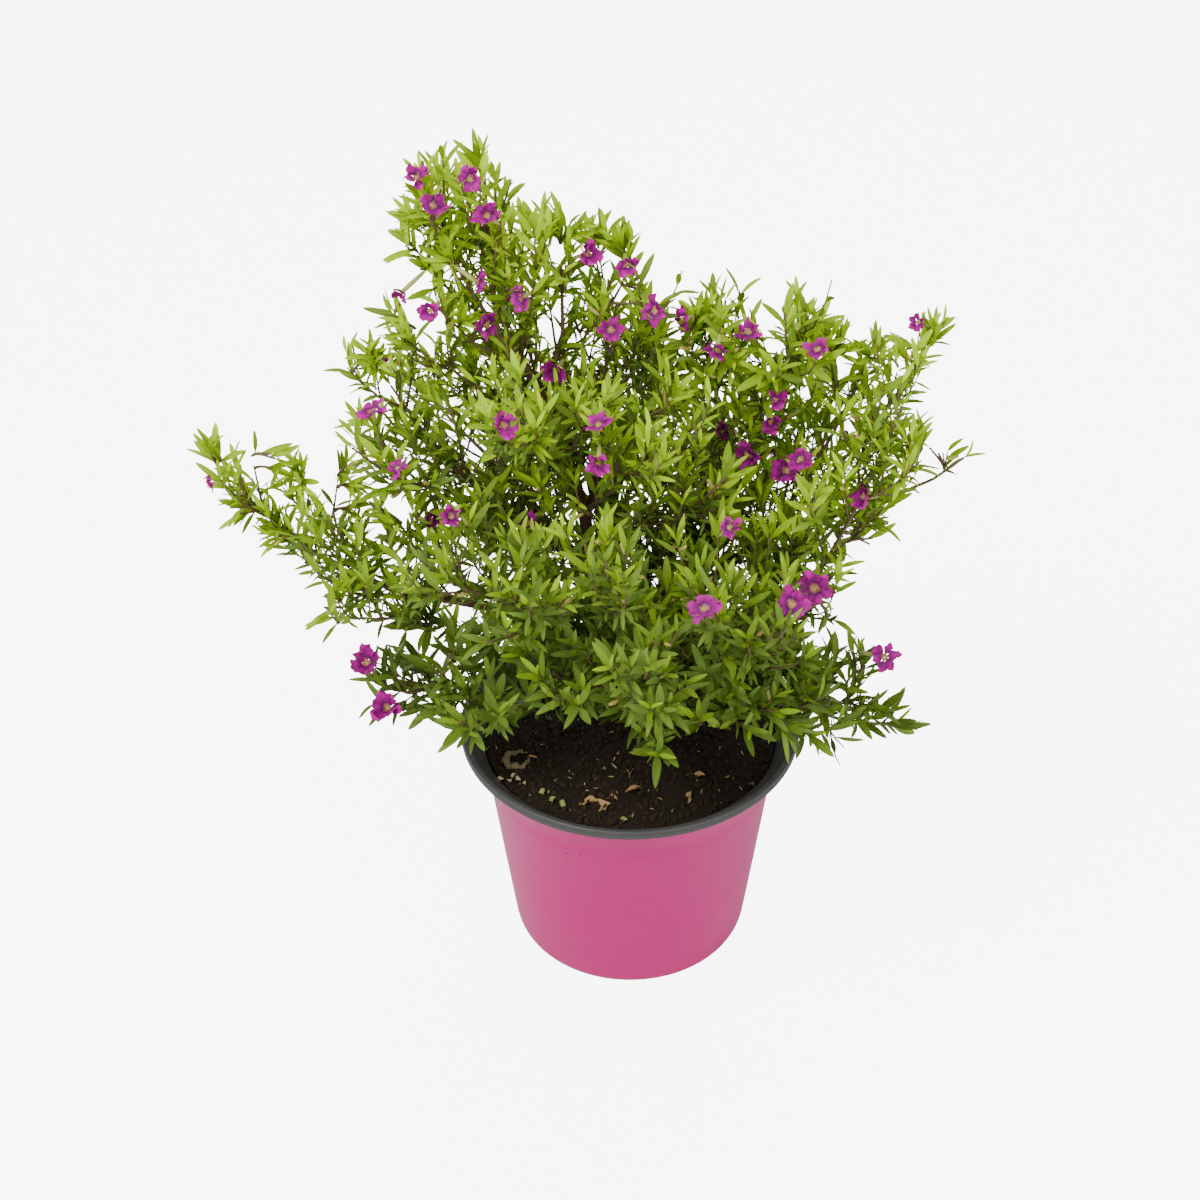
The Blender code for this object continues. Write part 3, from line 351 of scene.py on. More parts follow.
def grain_group():
    """Soft mottling of a colour and fine grain, read from object space."""
    group = bpy.data.node_groups.new("mottle_and_grain", "ShaderNodeTree")
    sockets(group, "INPUT", (("Colour", (0.5, 0.5, 0.5, 1)), ("Mottle Scale", 60.0),
                             ("Mottle", 0.2), ("Grain Scale", 900.0), ("Grain", 0.1),
                             ("Stretch", 1.0)))
    sockets(group, "OUTPUT", (("Colour", (0, 0, 0, 1)), ("Height", 0.0), ("Shade", 0.0)))
    given = node(group, "NodeGroupInput")
    place = node(group, "ShaderNodeTexCoord").outputs["Object"]
    stretch = node(group, "ShaderNodeCombineXYZ", {"X": 1.0, "Y": 1.0,
                                                   "Z": given.outputs["Stretch"]})
    place = node(group, "ShaderNodeVectorMath", {0: place, 1: stretch.outputs[0]},
                 operation="MULTIPLY").outputs[0]
    soft = node(group, "ShaderNodeTexNoise", {"Vector": place, "Detail": 3.0,
                                              "Scale": given.outputs["Mottle Scale"]})
    fine = node(group, "ShaderNodeTexNoise", {"Vector": place, "Detail": 4.0,
                                              "Scale": given.outputs["Grain Scale"]})
    soft_part = maths(group, "MULTIPLY", maths(group, "SUBTRACT", soft.outputs[0], 0.5),
                      given.outputs["Mottle"])
    fine_part = maths(group, "MULTIPLY", maths(group, "SUBTRACT", fine.outputs[0], 0.5),
                      given.outputs["Grain"])
    shade = maths(group, "ADD", maths(group, "MULTIPLY", soft_part, 2.0),
                  maths(group, "MULTIPLY", fine_part, 2.0))
    shade = maths(group, "MAXIMUM", maths(group, "ADD", shade, 1.0), 0.05)
    tinted = node(group, "ShaderNodeVectorMath", {0: given.outputs["Colour"]},
                  operation="SCALE")
    group.links.new(shade, tinted.inputs["Scale"])
    node(group, "NodeGroupOutput", {"Colour": tinted.outputs[0],
                                    "Height": fine.outputs[0], "Shade": shade})
    return group


GRAIN = grain_group()


def finish(name, colour, roughness, mottle=(60, 0.2), grain=(900, 0.1), stretch=1.0,
           bump=0.1, depth=0.2, coat=0.0, specular=0.5, sheen=0.0):
    """A material with mottled colour and a fine bump of depth millimetres."""
    material = bpy.data.materials.new(name)
    material.use_nodes = True
    tree = material.node_tree
    shader = tree.nodes["Principled BSDF"]
    tint = colour if isinstance(colour, bpy.types.NodeSocket) else (*colour, 1)
    group = node(tree, "ShaderNodeGroup", node_tree=GRAIN)
    values = {"Colour": tint, "Mottle Scale": mottle[0], "Mottle": mottle[1],
              "Grain Scale": grain[0], "Grain": grain[1], "Stretch": stretch}
    for key, value in values.items():
        group.inputs[key].default_value = value
    tree.links.new(group.outputs["Colour"], shader.inputs["Base Color"])
    rough = maths(tree, "MULTIPLY", group.outputs["Shade"], roughness)
    tree.links.new(maths(tree, "MINIMUM", rough, 1.0), shader.inputs["Roughness"])
    raised = node(tree, "ShaderNodeBump", {"Strength": bump, "Distance": depth * MM,
                                           "Height": group.outputs["Height"]})
    tree.links.new(raised.outputs[0], shader.inputs["Normal"])
    shader.inputs["Coat Weight"].default_value = coat
    shader.inputs["Coat Roughness"].default_value = 0.3
    shader.inputs["Specular IOR Level"].default_value = specular
    shader.inputs["Sheen Weight"].default_value = sheen
    return material


def banded(material, attribute, stops):
    """Colour a material by a named attribute of its mesh, from stops of (value, colour)."""
    tree = material.node_tree
    group = next(n for n in tree.nodes if n.type == "GROUP")
    read = node(tree, "ShaderNodeAttribute", attribute_name=attribute)
    ramp = node(tree, "ShaderNodeValToRGB", {0: read.outputs["Fac"]})
    marks = ramp.color_ramp.elements
    while len(marks) < len(stops):
        marks.new(0.5)
    for mark, (value, colour) in zip(marks, stops):
        mark.position = value
        mark.color = (*colour, 1)
    tree.links.new(ramp.outputs[0], group.inputs["Colour"])
    return material


def uneven(material, low, high):
    """Make every leaf a little lighter or darker than its neighbours, by how it is turned."""
    tree = material.node_tree
    group = next(n for n in tree.nodes if n.type == "GROUP")
    colour = group.inputs["Colour"].links[0].from_socket
    turn = node(tree, "ShaderNodeAttribute", attribute_name="turn")
    wave = node(tree, "ShaderNodeTexNoise", {"Vector": turn.outputs["Vector"], "Scale": 1.6,
                                             "Detail": 0.0})
    tone = node(tree, "ShaderNodeMapRange", {0: wave.outputs[0], 1: 0.3, 2: 0.7, 3: low, 4: high})
    scaled = node(tree, "ShaderNodeVectorMath", {0: colour}, operation="SCALE")
    tree.links.new(tone.outputs[0], scaled.inputs["Scale"])
    tree.links.new(scaled.outputs[0], group.inputs["Colour"])


def socket_id(tree, name):
    """Identifier of a named input of a node group."""
    return next(s.identifier for s in tree.interface.items_tree
                if s.name == name and s.in_out == "INPUT")


def dressed(name, base, tree, values, material, smooth=True):
    """The plain mesh that a tree of geometry nodes makes of a base object."""
    if not base.users_collection:
        bpy.context.scene.collection.objects.link(base)
    grown = base.modifiers.new("grow", "NODES")
    grown.node_group = tree
    for key, value in {**values, "Material": material}.items():
        grown[socket_id(tree, key)] = value
    graph = bpy.context.evaluated_depsgraph_get()
    mesh = bpy.data.meshes.new_from_object(base.evaluated_get(graph))
    bpy.data.objects.remove(base, do_unlink=True)
    mesh.name = name
    if not mesh.materials:
        mesh.materials.append(material)
    if smooth:
        mesh.shade_smooth()
    piece = bpy.data.objects.new(name, mesh)
    bpy.context.scene.collection.objects.link(piece)
    return piece


def carried(piece):
    """Let a piece ride with the pot, in one of the record's slots."""
    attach(piece, "root")
    return piece


# Lines

def smooth_line(points, steps):
    """Points of a Catmull-Rom curve that runs through the given points."""
    points = [Vector(p) for p in points]
    ends = [2 * points[0] - points[1]] + points + [2 * points[-1] - points[-2]]
    line = []
    for index in range(len(points) - 1):
        a, b, c, d = ends[index:index + 4]
        for step in range(steps):
            t = step / steps
            line.append(0.5 * (2 * b + (c - a) * t + (2 * a - 5 * b + 4 * c - d) * t ** 2
                               + (3 * b - a - 3 * c + d) * t ** 3))
    line.append(points[-1])
    return line


def bezier(a, b, c, d, steps):
    """Points of a cubic curve from a to d."""
    return [a * (1 - t) ** 3 + 3 * b * (1 - t) ** 2 * t + 3 * c * (1 - t) * t * t + d * t ** 3
            for t in (step / steps for step in range(steps + 1))]


def heading(flat, pitch):
    """Unit vector over the ground direction of flat, raised by pitch degrees."""
    level = Vector((flat.x, flat.y, 0))
    if level.length < 1e-6:
        return UP.copy()
    pitch = math.radians(pitch)
    return level.normalized() * math.cos(pitch) + UP * math.sin(pitch)


def trunk_taper(share):
    """Trunk radius in metres, at a share of its length."""
    flare = (TRUNK_FLARE - TRUNK_RADIUS) * math.exp(-share * 28)
    return (TRUNK_RADIUS + (TRUNK_TIP_RADIUS - TRUNK_RADIUS) * share ** 0.8 + flare) * MM


def trunk_line(steps=2):
    """The trunk's centre line with its radii, in metres."""
    line = [Vector(TRUNK_LINE[0])] + smooth_line(TRUNK_LINE[1:], steps)
    return [p * MM for p in line], [trunk_taper(i / (len(line) - 1)) for i in range(len(line))]


def trunk_at(height):
    """Centre and radius of the trunk at a height in millimetres."""
    line, radii = trunk_line()
    height *= MM
    for index in range(len(line) - 1):
        low, high = line[index], line[index + 1]
        if low.z <= height <= high.z:
            share = (height - low.z) / (high.z - low.z)
            return low.lerp(high, share), radii[index] + (radii[index + 1] - radii[index]) * share
    return line[-1], radii[-1]


def bough_line(name, steps=4):
    """Centre line and radii of a bough, from the trunk's centre to its tip."""
    height, tip, leave, arrive = BOUGHS[name]
    start, trunk_radius = trunk_at(height)
    tip = Vector(tip) * MM
    reach = (tip - start).length
    out = tip - start
    first = start + heading(out, leave) * reach * 0.35
    second = tip - heading(out, arrive) * reach * 0.33
    base = min(BOUGH_RADIUS * MM, trunk_radius * 0.8)
    radii = [base + (BOUGH_TIP_RADIUS * MM - base) * i / steps for i in range(steps + 1)]
    return bezier(start, first, second, tip, steps), radii


# Growth

class Twig:
    """One twig: its mass, centre line, radii and the turn of its first leaves."""

    def __init__(self, mass, line, radii, turn, rank):
        self.mass = mass
        self.line = line
        self.radii = radii
        self.turn = turn
        self.rank = rank
        self.length = sum((b - a).length for a, b in zip(line, line[1:]))

    def at(self, share):
        """Place and direction at a share of the twig's length."""
        wanted = share * self.length
        for a, b in zip(self.line, self.line[1:]):
            step = (b - a).length
            if wanted <= step:
                return a.lerp(b, wanted / step), (b - a).normalized()
            wanted -= step
        return self.line[-1].copy(), (self.line[-1] - self.line[-2]).normalized()


class Space:
    """The room each mass keeps to, and the limbs and pot it keeps off."""

    def __init__(self):
        self.limbs = []
        for line, radii in [trunk_line()] + [bough_line(name) for name in BOUGHS]:
            for (a, b), (r, s) in zip(zip(line, line[1:]), zip(radii, radii[1:])):
                self.limbs.append((a, b, max(r, s)))
        self.marks = []
        self.tree = None

    def add_shoot(self, shoot):
        count = max(2, int(shoot.length / (1.5 * MM)))
        for index in range(count + 1):
            self.marks.append((shoot.at(index / count)[0], shoot.mass))

    def balance(self):
        self.tree = KDTree(len(self.marks))
        for index, (place, _) in enumerate(self.marks):
            self.tree.insert(place, index)
        self.tree.balance()

    def to_others(self, place, mass):
        return self.tree.find(place, filter=lambda i: self.marks[i][1] != mass)[2]

    def owner(self, place):
        return self.marks[self.tree.find(place)[1]][1]

    def off_limbs(self, place, clearance):
        for a, b, radius in self.limbs:
            span = b - a
            share = max(0.0, min(1.0, (place - a).dot(span) / span.length_squared))
            if (place - a - span * share).length < radius + clearance:
                return False
        return True

    def off_pot(self, place, clearance):
        flat = math.hypot(place.x, place.y)
        if place.z < SOIL_TOP * MM + clearance and flat < wall_radius(SOIL_TOP) * MM:
            return False
        near_rim = (RIM_RADIUS - 9) * MM < flat < RIM_RADIUS * MM + clearance
        if near_rim and place.z < POT_HEIGHT * MM + clearance:
            return False
        return place.z > SOIL_TOP * MM * 0.6


def side_frame(along, turn):
    """Unit vector square to a twig, turned about it by a number of degrees."""
    flat = along.cross(UP)
    if flat.length < 0.05:
        flat = Vector((1, 0, 0))
    return Matrix.Rotation(math.radians(turn), 3, along) @ flat.normalized()


def stem_turn(name, along):
    """Turn of a stem about its bough's tip, evenly spaced from its neighbours."""
    group = [n for n in MASSES if MASSES[n][0] == MASSES[name][0]]
    goals = {n: Vector(MASSES[n][1]) for n in group}
    middle = sum(goals.values(), Vector()) / len(group)
    zero = side_frame(along, 0)
    quarter = side_frame(along, 90)
    turns = {n: math.degrees(math.atan2((g - middle).dot(quarter), (g - middle).dot(zero)))
             for n, g in goals.items()}
    order = sorted(group, key=turns.get)
    return turns[order[0]] + 360 * order.index(name) / len(group)


def carrier_end(name):
    """Where a mass's stem starts and in which direction it sets off."""
    carrier, tip = MASSES[name][:2]
    goal = Vector(tip) * MM
    if isinstance(carrier, int):
        centre, radius = trunk_at(carrier)
        away = heading(goal - centre, 35)
        run = (radius + STEM_RADIUS * MM) / math.cos(math.radians(35)) * 1.15
        return centre + away * run, away
    line, _ = trunk_line() if carrier == "trunk" else bough_line(carrier)
    along = (line[-1] - line[-2]).normalized()
    side = side_frame(along, stem_turn(name, along))
    return line[-1] + along * GAP + side * STEM_OFFSET * MM, along


def main_shoot(name):
    """The stem of a mass, as far as its solid's stem goes."""
    goal = Vector(MASSES[name][1]) * MM
    start, away = carrier_end(name)
    out = goal - start
    goal -= (out.normalized() + UP * 0.4).normalized() * TIP_ALLOWANCE * MM
    reach = (goal - start).length
    run = start + away * STEM_RUN * MM
    end_way = (out.normalized() + UP * 0.35).normalized()
    line = bezier(run, run + away * reach * 0.3, goal - end_way * reach * 0.3, goal, 3)
    line.insert(0, start)
    radii = [(STEM_RADIUS + (STEM_TIP_RADIUS - STEM_RADIUS) * i / 4) * MM for i in range(5)]
    return Twig(name, line, radii, MASSES[name][4], 0)


def longer(twig, extra):
    """Let a twig grow on straight from its tip by a length in millimetres."""
    way = (twig.line[-1] - twig.line[-2]).normalized() + UP * 0.3
    twig.line.append(twig.line[-1] + way.normalized() * extra * MM)
    twig.radii.append(twig.radii[-1] * 0.8)
    twig.length += extra * MM


def side_shoot(parent, share, turn, length, rng, rank=1):
    """A side shoot that leaves its stem and turns upwards."""
    base, along = parent.at(share)
    across = side_frame(along, turn)
    angle = math.radians(SIDE_ANGLE + rng.uniform(-6, 6))
    away = along * math.cos(angle) + across * math.sin(angle)
    length *= MM
    mid = base + away * length * 0.5
    lift = SIDE_LIFT if rank == 1 else FINE_LIFT
    tip = base + (away + UP * lift).normalized() * length
    line = bezier(base, base + away * length * 0.3, mid.lerp(tip, 0.3), tip, 2 if rank == 1 else 3)
    thick, thin = ((SHOOT_RADIUS, SHOOT_TIP_RADIUS) if rank == 1
                   else (FINE_RADIUS, FINE_TIP_RADIUS))
    last = len(line) - 1
    radii = [(thick + (thin - thick) * i / last) * MM for i in range(last + 1)]
    return Twig(parent.mass, line, radii, turn + 90 * rng.random(), rank)


def grow_shoots(space):
    """Stems of every mass, then their side shoots, pair by pair in turn."""
    shoots = {}
    for name in MASSES:
        shoots[name] = [main_shoot(name)]
        space.add_shoot(shoots[name][0])
    draws = {name: random.Random(MASSES[name][5]) for name in MASSES}
    for pair in range(max(row[2] for row in MASSES.values())):
        for name, row in MASSES.items():
            pairs, reach, roll = row[2:5]
            if pair >= pairs:
                continue
            share = 0.22 + 0.54 * (pair + 0.5 * (pairs == 1)) / max(1, pairs - 1)
            for side in (0, 180):
                turn = roll + 90 * pair + side + draws[name].uniform(-15, 15)
                size = reach * (1.15 - 0.45 * share) * draws[name].uniform(0.85, 1.1)
                size = min(size, (1 - share) * shoots[name][0].length / MM + 4)
                grow_side(shoots[name], space, share, turn, size, draws[name])
    return shoots


def grow_side(family, space, share, turn, size, rng):
    """Add one side shoot where there is room, shorter if it has to be."""
    space.balance()
    for scale in (1.0, 0.8, 0.62):
        state = rng.getstate()
        shoot = side_shoot(family[0], share, turn, size * scale, rng)
        if shoot_fits(shoot, space):
            family.append(shoot)
            space.add_shoot(shoot)
            return
        rng.setstate(state)
    rng.random()


def shoot_fits(shoot, space):
    """True where a side shoot keeps clear of limbs, pot and other masses."""
    for index in range(2, 9):
        place, _ = shoot.at(index / 8)
        if not space.off_limbs(place, 2.0 * MM) or not space.off_pot(place, 3.0 * MM):
            return False
        if space.to_others(place, shoot.mass) < SHOOT_CLEARANCE * MM:
            return False
    return True


def finer_twigs(parent, space, rng):
    """Upright leafy twigs in crossed pairs along a stem or a side shoot."""
    step = (12.0 if parent.rank == 0 else 11.0) * MM
    found = []
    for number in range(1, int(parent.length / step) + 1):
        share = 1 - number * step / parent.length
        if share < 0.1:
            continue
        for side in (0, 180):
            turn = parent.turn + 90 * number + side + rng.uniform(-25, 25)
            size = (14 + 14 * (1 - share)) * rng.uniform(0.7, 1.2)
            if parent.rank == 0:
                size *= 1.2
            twig = side_shoot(parent, share, turn, size, rng, 2)
            tip = twig.line[-1]
            if rng.random() < 0.15 or not space.off_pot(tip, 3 * MM) or tip.z < 102 * MM:
                continue
            free = not parent.mass or space.owner(tip) == parent.mass
            if free and space.off_limbs(tip, 2 * MM):
                found.append(twig)
    return found


# Leaves

def leaf_turn(way, along, to_light, rng):
    """Euler turn of a leaf that points along way, its face towards tip and light."""
    face = along - way * along.dot(way)
    face = face.normalized() * 0.7 + LIGHT_SIDE * to_light
    face += Vector([rng.uniform(-0.3, 0.3) for _ in range(3)])
    face -= way * face.dot(way)
    face.normalize()
    across = way.cross(face)
    return Matrix((across, way, face)).transposed().to_euler()


def depth_share(place):
    """From 0 in the middle of the crown to about 1 at its outside."""
    out = place - CROWN_MIDDLE
    return Vector((out.x / 150, out.y / 110, out.z / 140)).length / MM


def painted_shade_level(place, share, rng):
    """Level of painted shade for a spray, 0 in full light to 1 in deep shade: darker towards the middle of
    the crown and low down at the front, lighter on finer twigs, high up and out on the left wing.
    """
    level = 1.0 - 0.5 * depth_share(place) - 0.3 * share + rng.gauss(0, 0.14)
    seen_height = (place.z + 0.6 * min(0.0, place.y)) / MM
    low_down = max(0.0, min(1.0, (215 - seen_height) / 80))
    wing = max(0.0, min(1.0, (-place.x / MM - 85) / 50))
    high_up = max(0.0, (place.z / MM - 250) / 110)
    return level + 0.6 * low_down - 0.3 * high_up - 0.22 * wing


def kind_of(level):
    """Leaf colour of a level of shade from 0, full light, to 1, deep shade."""
    return max(0, min(len(LEAF_KINDS) - 1, int(level * len(LEAF_KINDS))))


def clear_of_soil(twig):
    """False for a finer twig that would hang over the open soil in front."""
    tip = twig.line[-1]
    return twig.rank < 2 or tip.y > -30 * MM or tip.z > 128 * MM


def in_gap(place):
    """True where a place, as seen by the camera, falls in an open patch."""
    sight = place - CAMERA_PLACE
    spot = (CAMERA_PLACE - sight * (CAMERA_PLACE.y / sight.y)) / MM
    return any(math.hypot(spot.x - right, spot.z - up) < radius
               for right, up, radius in SKY_GAPS)


def trimmed(twig):
    """A twig cut back to where it meets an open patch, or None where little is left."""
    steps = 10
    for step in range(1, steps + 1):
        if not in_gap(twig.at(step / steps)[0]):
            continue
        share = (step - 1) / steps
        if twig.rank < 2:
            share = max(share, 0.75)
        if share < 0.3:
            return None
        count = len(twig.line) - 1
        line = [twig.at(share * index / count)[0] for index in range(count + 1)]
        return Twig(twig.mass, line, twig.radii, twig.turn, twig.rank)
    return twig


def extra_sprays(twigs, rng):
    """Shoots from the nearest stem or shoot to each of the extra tips."""
    places = [twig.at(share) for twig in twigs if twig.rank < 2
              for share in (0.1, 0.3, 0.5, 0.7, 0.9)]
    found = []
    for tip in EXTRA_SPRAYS:
        goal = Vector(tip) * MM
        foot, along = min(places, key=lambda row: (row[0] - goal).length
                          + 2 * max(0.0, row[0].z + 10 * MM - goal.z))
        away = (goal - foot).normalized()
        back = (away + UP * 0.6).normalized() * MM
        goal -= back * (9 if (goal - foot).length > 14 * MM else 4)
        reach = (goal - foot).length
        if not 4 * MM < reach < 60 * MM:
            continue
        line = bezier(foot, foot + (away + along * 0.5).normalized() * reach * 0.3,
                      goal - (away + UP * 0.5).normalized() * reach * 0.3, goal, 5)
        radii = [(SHOOT_RADIUS + (SHOOT_TIP_RADIUS - SHOOT_RADIUS) * i / 5) * MM for i in range(6)]
        found.append(Twig("", line, radii, rng.uniform(0, 90), 1))
    return found


def limb_twigs(space, rng):
    """Upright shoots along the boughs and the trunk, which fill the middle of the crown."""
    found = []
    limbs = [bough_line(name, 8) for name in BOUGHS] + [trunk_line(4)]
    for line, radii in limbs:
        limb = Twig("", line, radii, 0, 0)
        count = int(limb.length / (6 * MM))
        for number in range(1, count):
            share = number / count
            base, along = limb.at(share)
            if base.z < 118 * MM:
                continue
            turn = rng.uniform(-75, 75) + 90 + 180 * (number % 2)
            size = rng.uniform(26, 56)
            twig = side_shoot(limb, share, turn, size, rng)
            tip = twig.line[-1]
            near = space.tree.find(tip)[2]
            if near > 6 * MM and space.off_pot(tip, 8 * MM):
                found.append(twig)
                space.add_shoot(twig)
                space.balance()
    return found


def dress_twig(twig, leaves, rng):
    """Small narrow leaves in crossed pairs along a twig, and a bright tuft at its tip."""
    spacing = (4.6, 3.6, 3.1)[twig.rank] * MM
    if twig.mass in SPARSE_MASSES:
        spacing *= 2.2
    pairs = max(3, int(twig.length / spacing))
    place, _ = twig.at(0.7)
    # Painted shade level of the spray, by its place in the crown
    level = painted_shade_level(place, 0.4 if twig.rank == 2 else 0.1, rng)
    tuft = rng.uniform(0.8, 1.1)
    if place.y < 0:
        tuft += 0.25 * max(0.0, min(1.0, (200 * MM - place.z) / (70 * MM)))
    bare = 0.2 + 0.6 * max(0.0, 1 - depth_share(place) / 0.6)
    for pair in range(pairs + 1):
        share = (pair + 0.7) / (pairs + 0.7)
        base, along = twig.at(share)
        left = (1 - share) * twig.length / MM
        young = max(0.0, 1 - left / 10)
        for side in (0, 180):
            if rng.random() < bare * (1 - young):
                continue
            turn = twig.turn + 90 * pair + side + rng.uniform(-16, 16)
            across = side_frame(along, turn)
            angle = math.radians(55 - 33 * young ** 0.8 + rng.uniform(-9, 9))
            way = along * math.cos(angle) + across * math.sin(angle)
            if young > 0:
                size = tuft * (0.72 + 0.5 * young - 0.6 * young ** 4) * rng.uniform(0.85, 1.12)
                width = size * rng.uniform(0.8, 1.05)
            else:
                size = tuft * rng.uniform(0.45, 0.75)
                width = size * rng.uniform(0.7, 1.0)
            curl = rng.uniform(0.4, 1.3)
            reach = way.normalized() * size * LEAF_LENGTH * MM
            if in_gap(base + reach) or in_gap(base + reach * 0.5) or not young and in_gap(base):
                continue
            # Young leaves take lighter greens as real new growth; the rest follow the painted shade level
            kind = kind_of(level + 0.12 - 0.55 * young + rng.gauss(0, 0.12))
            leaves[kind].append((base, leaf_turn(way.normalized(), along, 0.25 + 0.6 * young, rng),
                                 (width, size, curl)))


def leaf_tree():
    """A folded, drooping leaf on every point, turned and sized by attributes."""
    tree = bpy.data.node_groups.new("leaf_sprays", "GeometryNodeTree")
    tree.interface.new_socket("Geometry", in_out="INPUT", socket_type="NodeSocketGeometry")
    sockets(tree, "INPUT", (("Length", 1.0), ("Width", 1.0), ("Fold", 0.3), ("Droop", 0.1)))
    tree.interface.new_socket("Material", in_out="INPUT", socket_type="NodeSocketMaterial")
    tree.interface.new_socket("Geometry", in_out="OUTPUT", socket_type="NodeSocketGeometry")
    given = node(tree, "NodeGroupInput")
    grid = node(tree, "GeometryNodeMeshGrid", {"Size X": 1.0, "Size Y": 1.0,
                                               "Vertices X": 3, "Vertices Y": 7})
    place = node(tree, "ShaderNodeSeparateXYZ",
                 {0: node(tree, "GeometryNodeInputPosition").outputs[0]})
    along = maths(tree, "ADD", place.outputs["Y"], 0.5)
    swell = maths(tree, "SINE", maths(
        tree, "ADD", maths(tree, "MULTIPLY", along, 0.87 * math.pi), 0.04 * math.pi))
    swell = maths(tree, "POWER", maths(tree, "MAXIMUM", swell, 0.0), 0.5)
    stalk = maths(tree, "MINIMUM", maths(tree, "MULTIPLY", along, 2.5), 1.0)
    stalk = maths(tree, "ADD", maths(tree, "MULTIPLY", stalk, 0.7), 0.3)
    swell = maths(tree, "MULTIPLY", swell, stalk)
    side = maths(tree, "MULTIPLY", place.outputs["X"],
                 maths(tree, "MULTIPLY", swell, given.outputs["Width"]))
    lift = maths(tree, "MULTIPLY", maths(tree, "ABSOLUTE", side), given.outputs["Fold"])
    drop = maths(tree, "MULTIPLY", maths(tree, "POWER", along, 2.0),
                 maths(tree, "MULTIPLY", given.outputs["Droop"], given.outputs["Length"]))
    off_rib = maths(tree, "MULTIPLY", maths(tree, "ABSOLUTE", place.outputs["X"]), 2.0)
    round_tip = maths(tree, "SUBTRACT", 1.0, maths(tree, "MULTIPLY", off_rib, 0.12))
    reach = maths(tree, "MULTIPLY", maths(tree, "MULTIPLY", along, round_tip),
                  given.outputs["Length"])
    shaped = node(tree, "ShaderNodeCombineXYZ",
                  {"X": side, "Y": reach, "Z": maths(tree, "SUBTRACT", lift, drop)})
    marked = node(tree, "GeometryNodeStoreNamedAttribute",
                  {"Geometry": grid.outputs["Mesh"], "Name": "off_rib"}, data_type="FLOAT")
    tree.links.new(off_rib, next(s for s in marked.inputs if s.name == "Value" and s.enabled))
    leaf = node(tree, "GeometryNodeSetPosition", {"Geometry": marked.outputs[0],
                                                  "Position": shaped.outputs[0]})
    turn = node(tree, "GeometryNodeInputNamedAttribute", {"Name": "turn"}, data_type="FLOAT_VECTOR")
    size = node(tree, "GeometryNodeInputNamedAttribute", {"Name": "size"}, data_type="FLOAT_VECTOR")
    placed = node(tree, "GeometryNodeInstanceOnPoints",
                  {"Points": given.outputs["Geometry"], "Instance": leaf.outputs[0],
                   "Rotation": turn.outputs[0], "Scale": size.outputs[0]})
    real = node(tree, "GeometryNodeRealizeInstances", {"Geometry": placed.outputs[0]})
    painted = node(tree, "GeometryNodeSetMaterial", {"Geometry": real.outputs[0],
                                                     "Material": given.outputs["Material"]})
    node(tree, "NodeGroupOutput", {"Geometry": painted.outputs[0]})
    return tree


def point_cloud(name, rows):
    """A mesh of loose points that carry a turn and a size each."""
    mesh = bpy.data.meshes.new(name)
    mesh.from_pydata([row[0] for row in rows], [], [])
    for index, key in ((1, "turn"), (2, "size")):
        layer = mesh.attributes.new(key, "FLOAT_VECTOR", "POINT")
        layer.data.foreach_set("vector", [v for row in rows for v in row[index]])
    obj = bpy.data.objects.new(name, mesh)
    bpy.context.scene.collection.objects.link(obj)
    return obj


# Tubes

def make_tubes(name, twigs, resolution, material):
    """Tapering tubes along many lines, as one mesh."""
    curve = bpy.data.curves.new(name, "CURVE")
    curve.dimensions = "3D"
    curve.use_fill_caps = True
    curve.bevel_depth = 1.0
    curve.bevel_resolution = resolution
    for line, radii in twigs:
        spline = curve.splines.new("POLY")
        spline.points.add(len(line) - 1)
        for point, place, radius in zip(spline.points, line, radii):
            point.co = (*place, 1)
            point.radius = radius
    obj = bpy.data.objects.new(name, curve)
    bpy.context.scene.collection.objects.link(obj)
    graph = bpy.context.evaluated_depsgraph_get()
    mesh = bpy.data.meshes.new_from_object(obj.evaluated_get(graph))
    bpy.data.objects.remove(obj, do_unlink=True)
    bm = bmesh.new()
    bm.from_mesh(mesh)
    bmesh.ops.remove_doubles(bm, verts=bm.verts, dist=0.000001)
    bmesh.ops.recalc_face_normals(bm, faces=bm.faces)
    bm.to_mesh(mesh)
    bm.free()
    mesh.materials.clear()
    mesh.materials.append(material)
    mesh.shade_smooth()
    piece = bpy.data.objects.new(name, mesh)
    bpy.context.scene.collection.objects.link(piece)
    return piece


def rough_bark(piece, depth):
    """Raise long ridges on a limb's surface by a depth in millimetres."""
    normals = [vert.normal.copy() for vert in piece.data.vertices]
    for vert, normal in zip(piece.data.vertices, normals):
        where = Vector((vert.co.x * 900, vert.co.y * 900, vert.co.z * 160))
        lump = noise.noise(where) + 0.5 * noise.noise(where * 2.3)
        vert.co += normal * lump * depth * MM


# Pot and soil

def wall_radius(height):
    """Outer radius of the pot's wall, in millimetres, at a height."""
    if height < POT_NECK_HEIGHT:
        share = height / POT_NECK_HEIGHT
        return POT_BASE_RADIUS + (POT_NECK_RADIUS - POT_BASE_RADIUS) * share
    share = (height - POT_NECK_HEIGHT) / (POT_WALL_TOP - POT_NECK_HEIGHT)
    return POT_NECK_RADIUS + (POT_TOP_RADIUS - POT_NECK_RADIUS) * share


def soft_wall(height):
    """Radius of the wall with its neck rounded off."""
    slope = (POT_NECK_RADIUS - POT_BASE_RADIUS) / POT_NECK_HEIGHT
    flare = (POT_TOP_RADIUS - POT_NECK_RADIUS) / (POT_WALL_TOP - POT_NECK_HEIGHT) - slope
    above = math.log1p(math.exp((height - POT_NECK_HEIGHT) / POT_FLARE_SOFTNESS))
    return POT_BASE_RADIUS + slope * height + flare * above * POT_FLARE_SOFTNESS


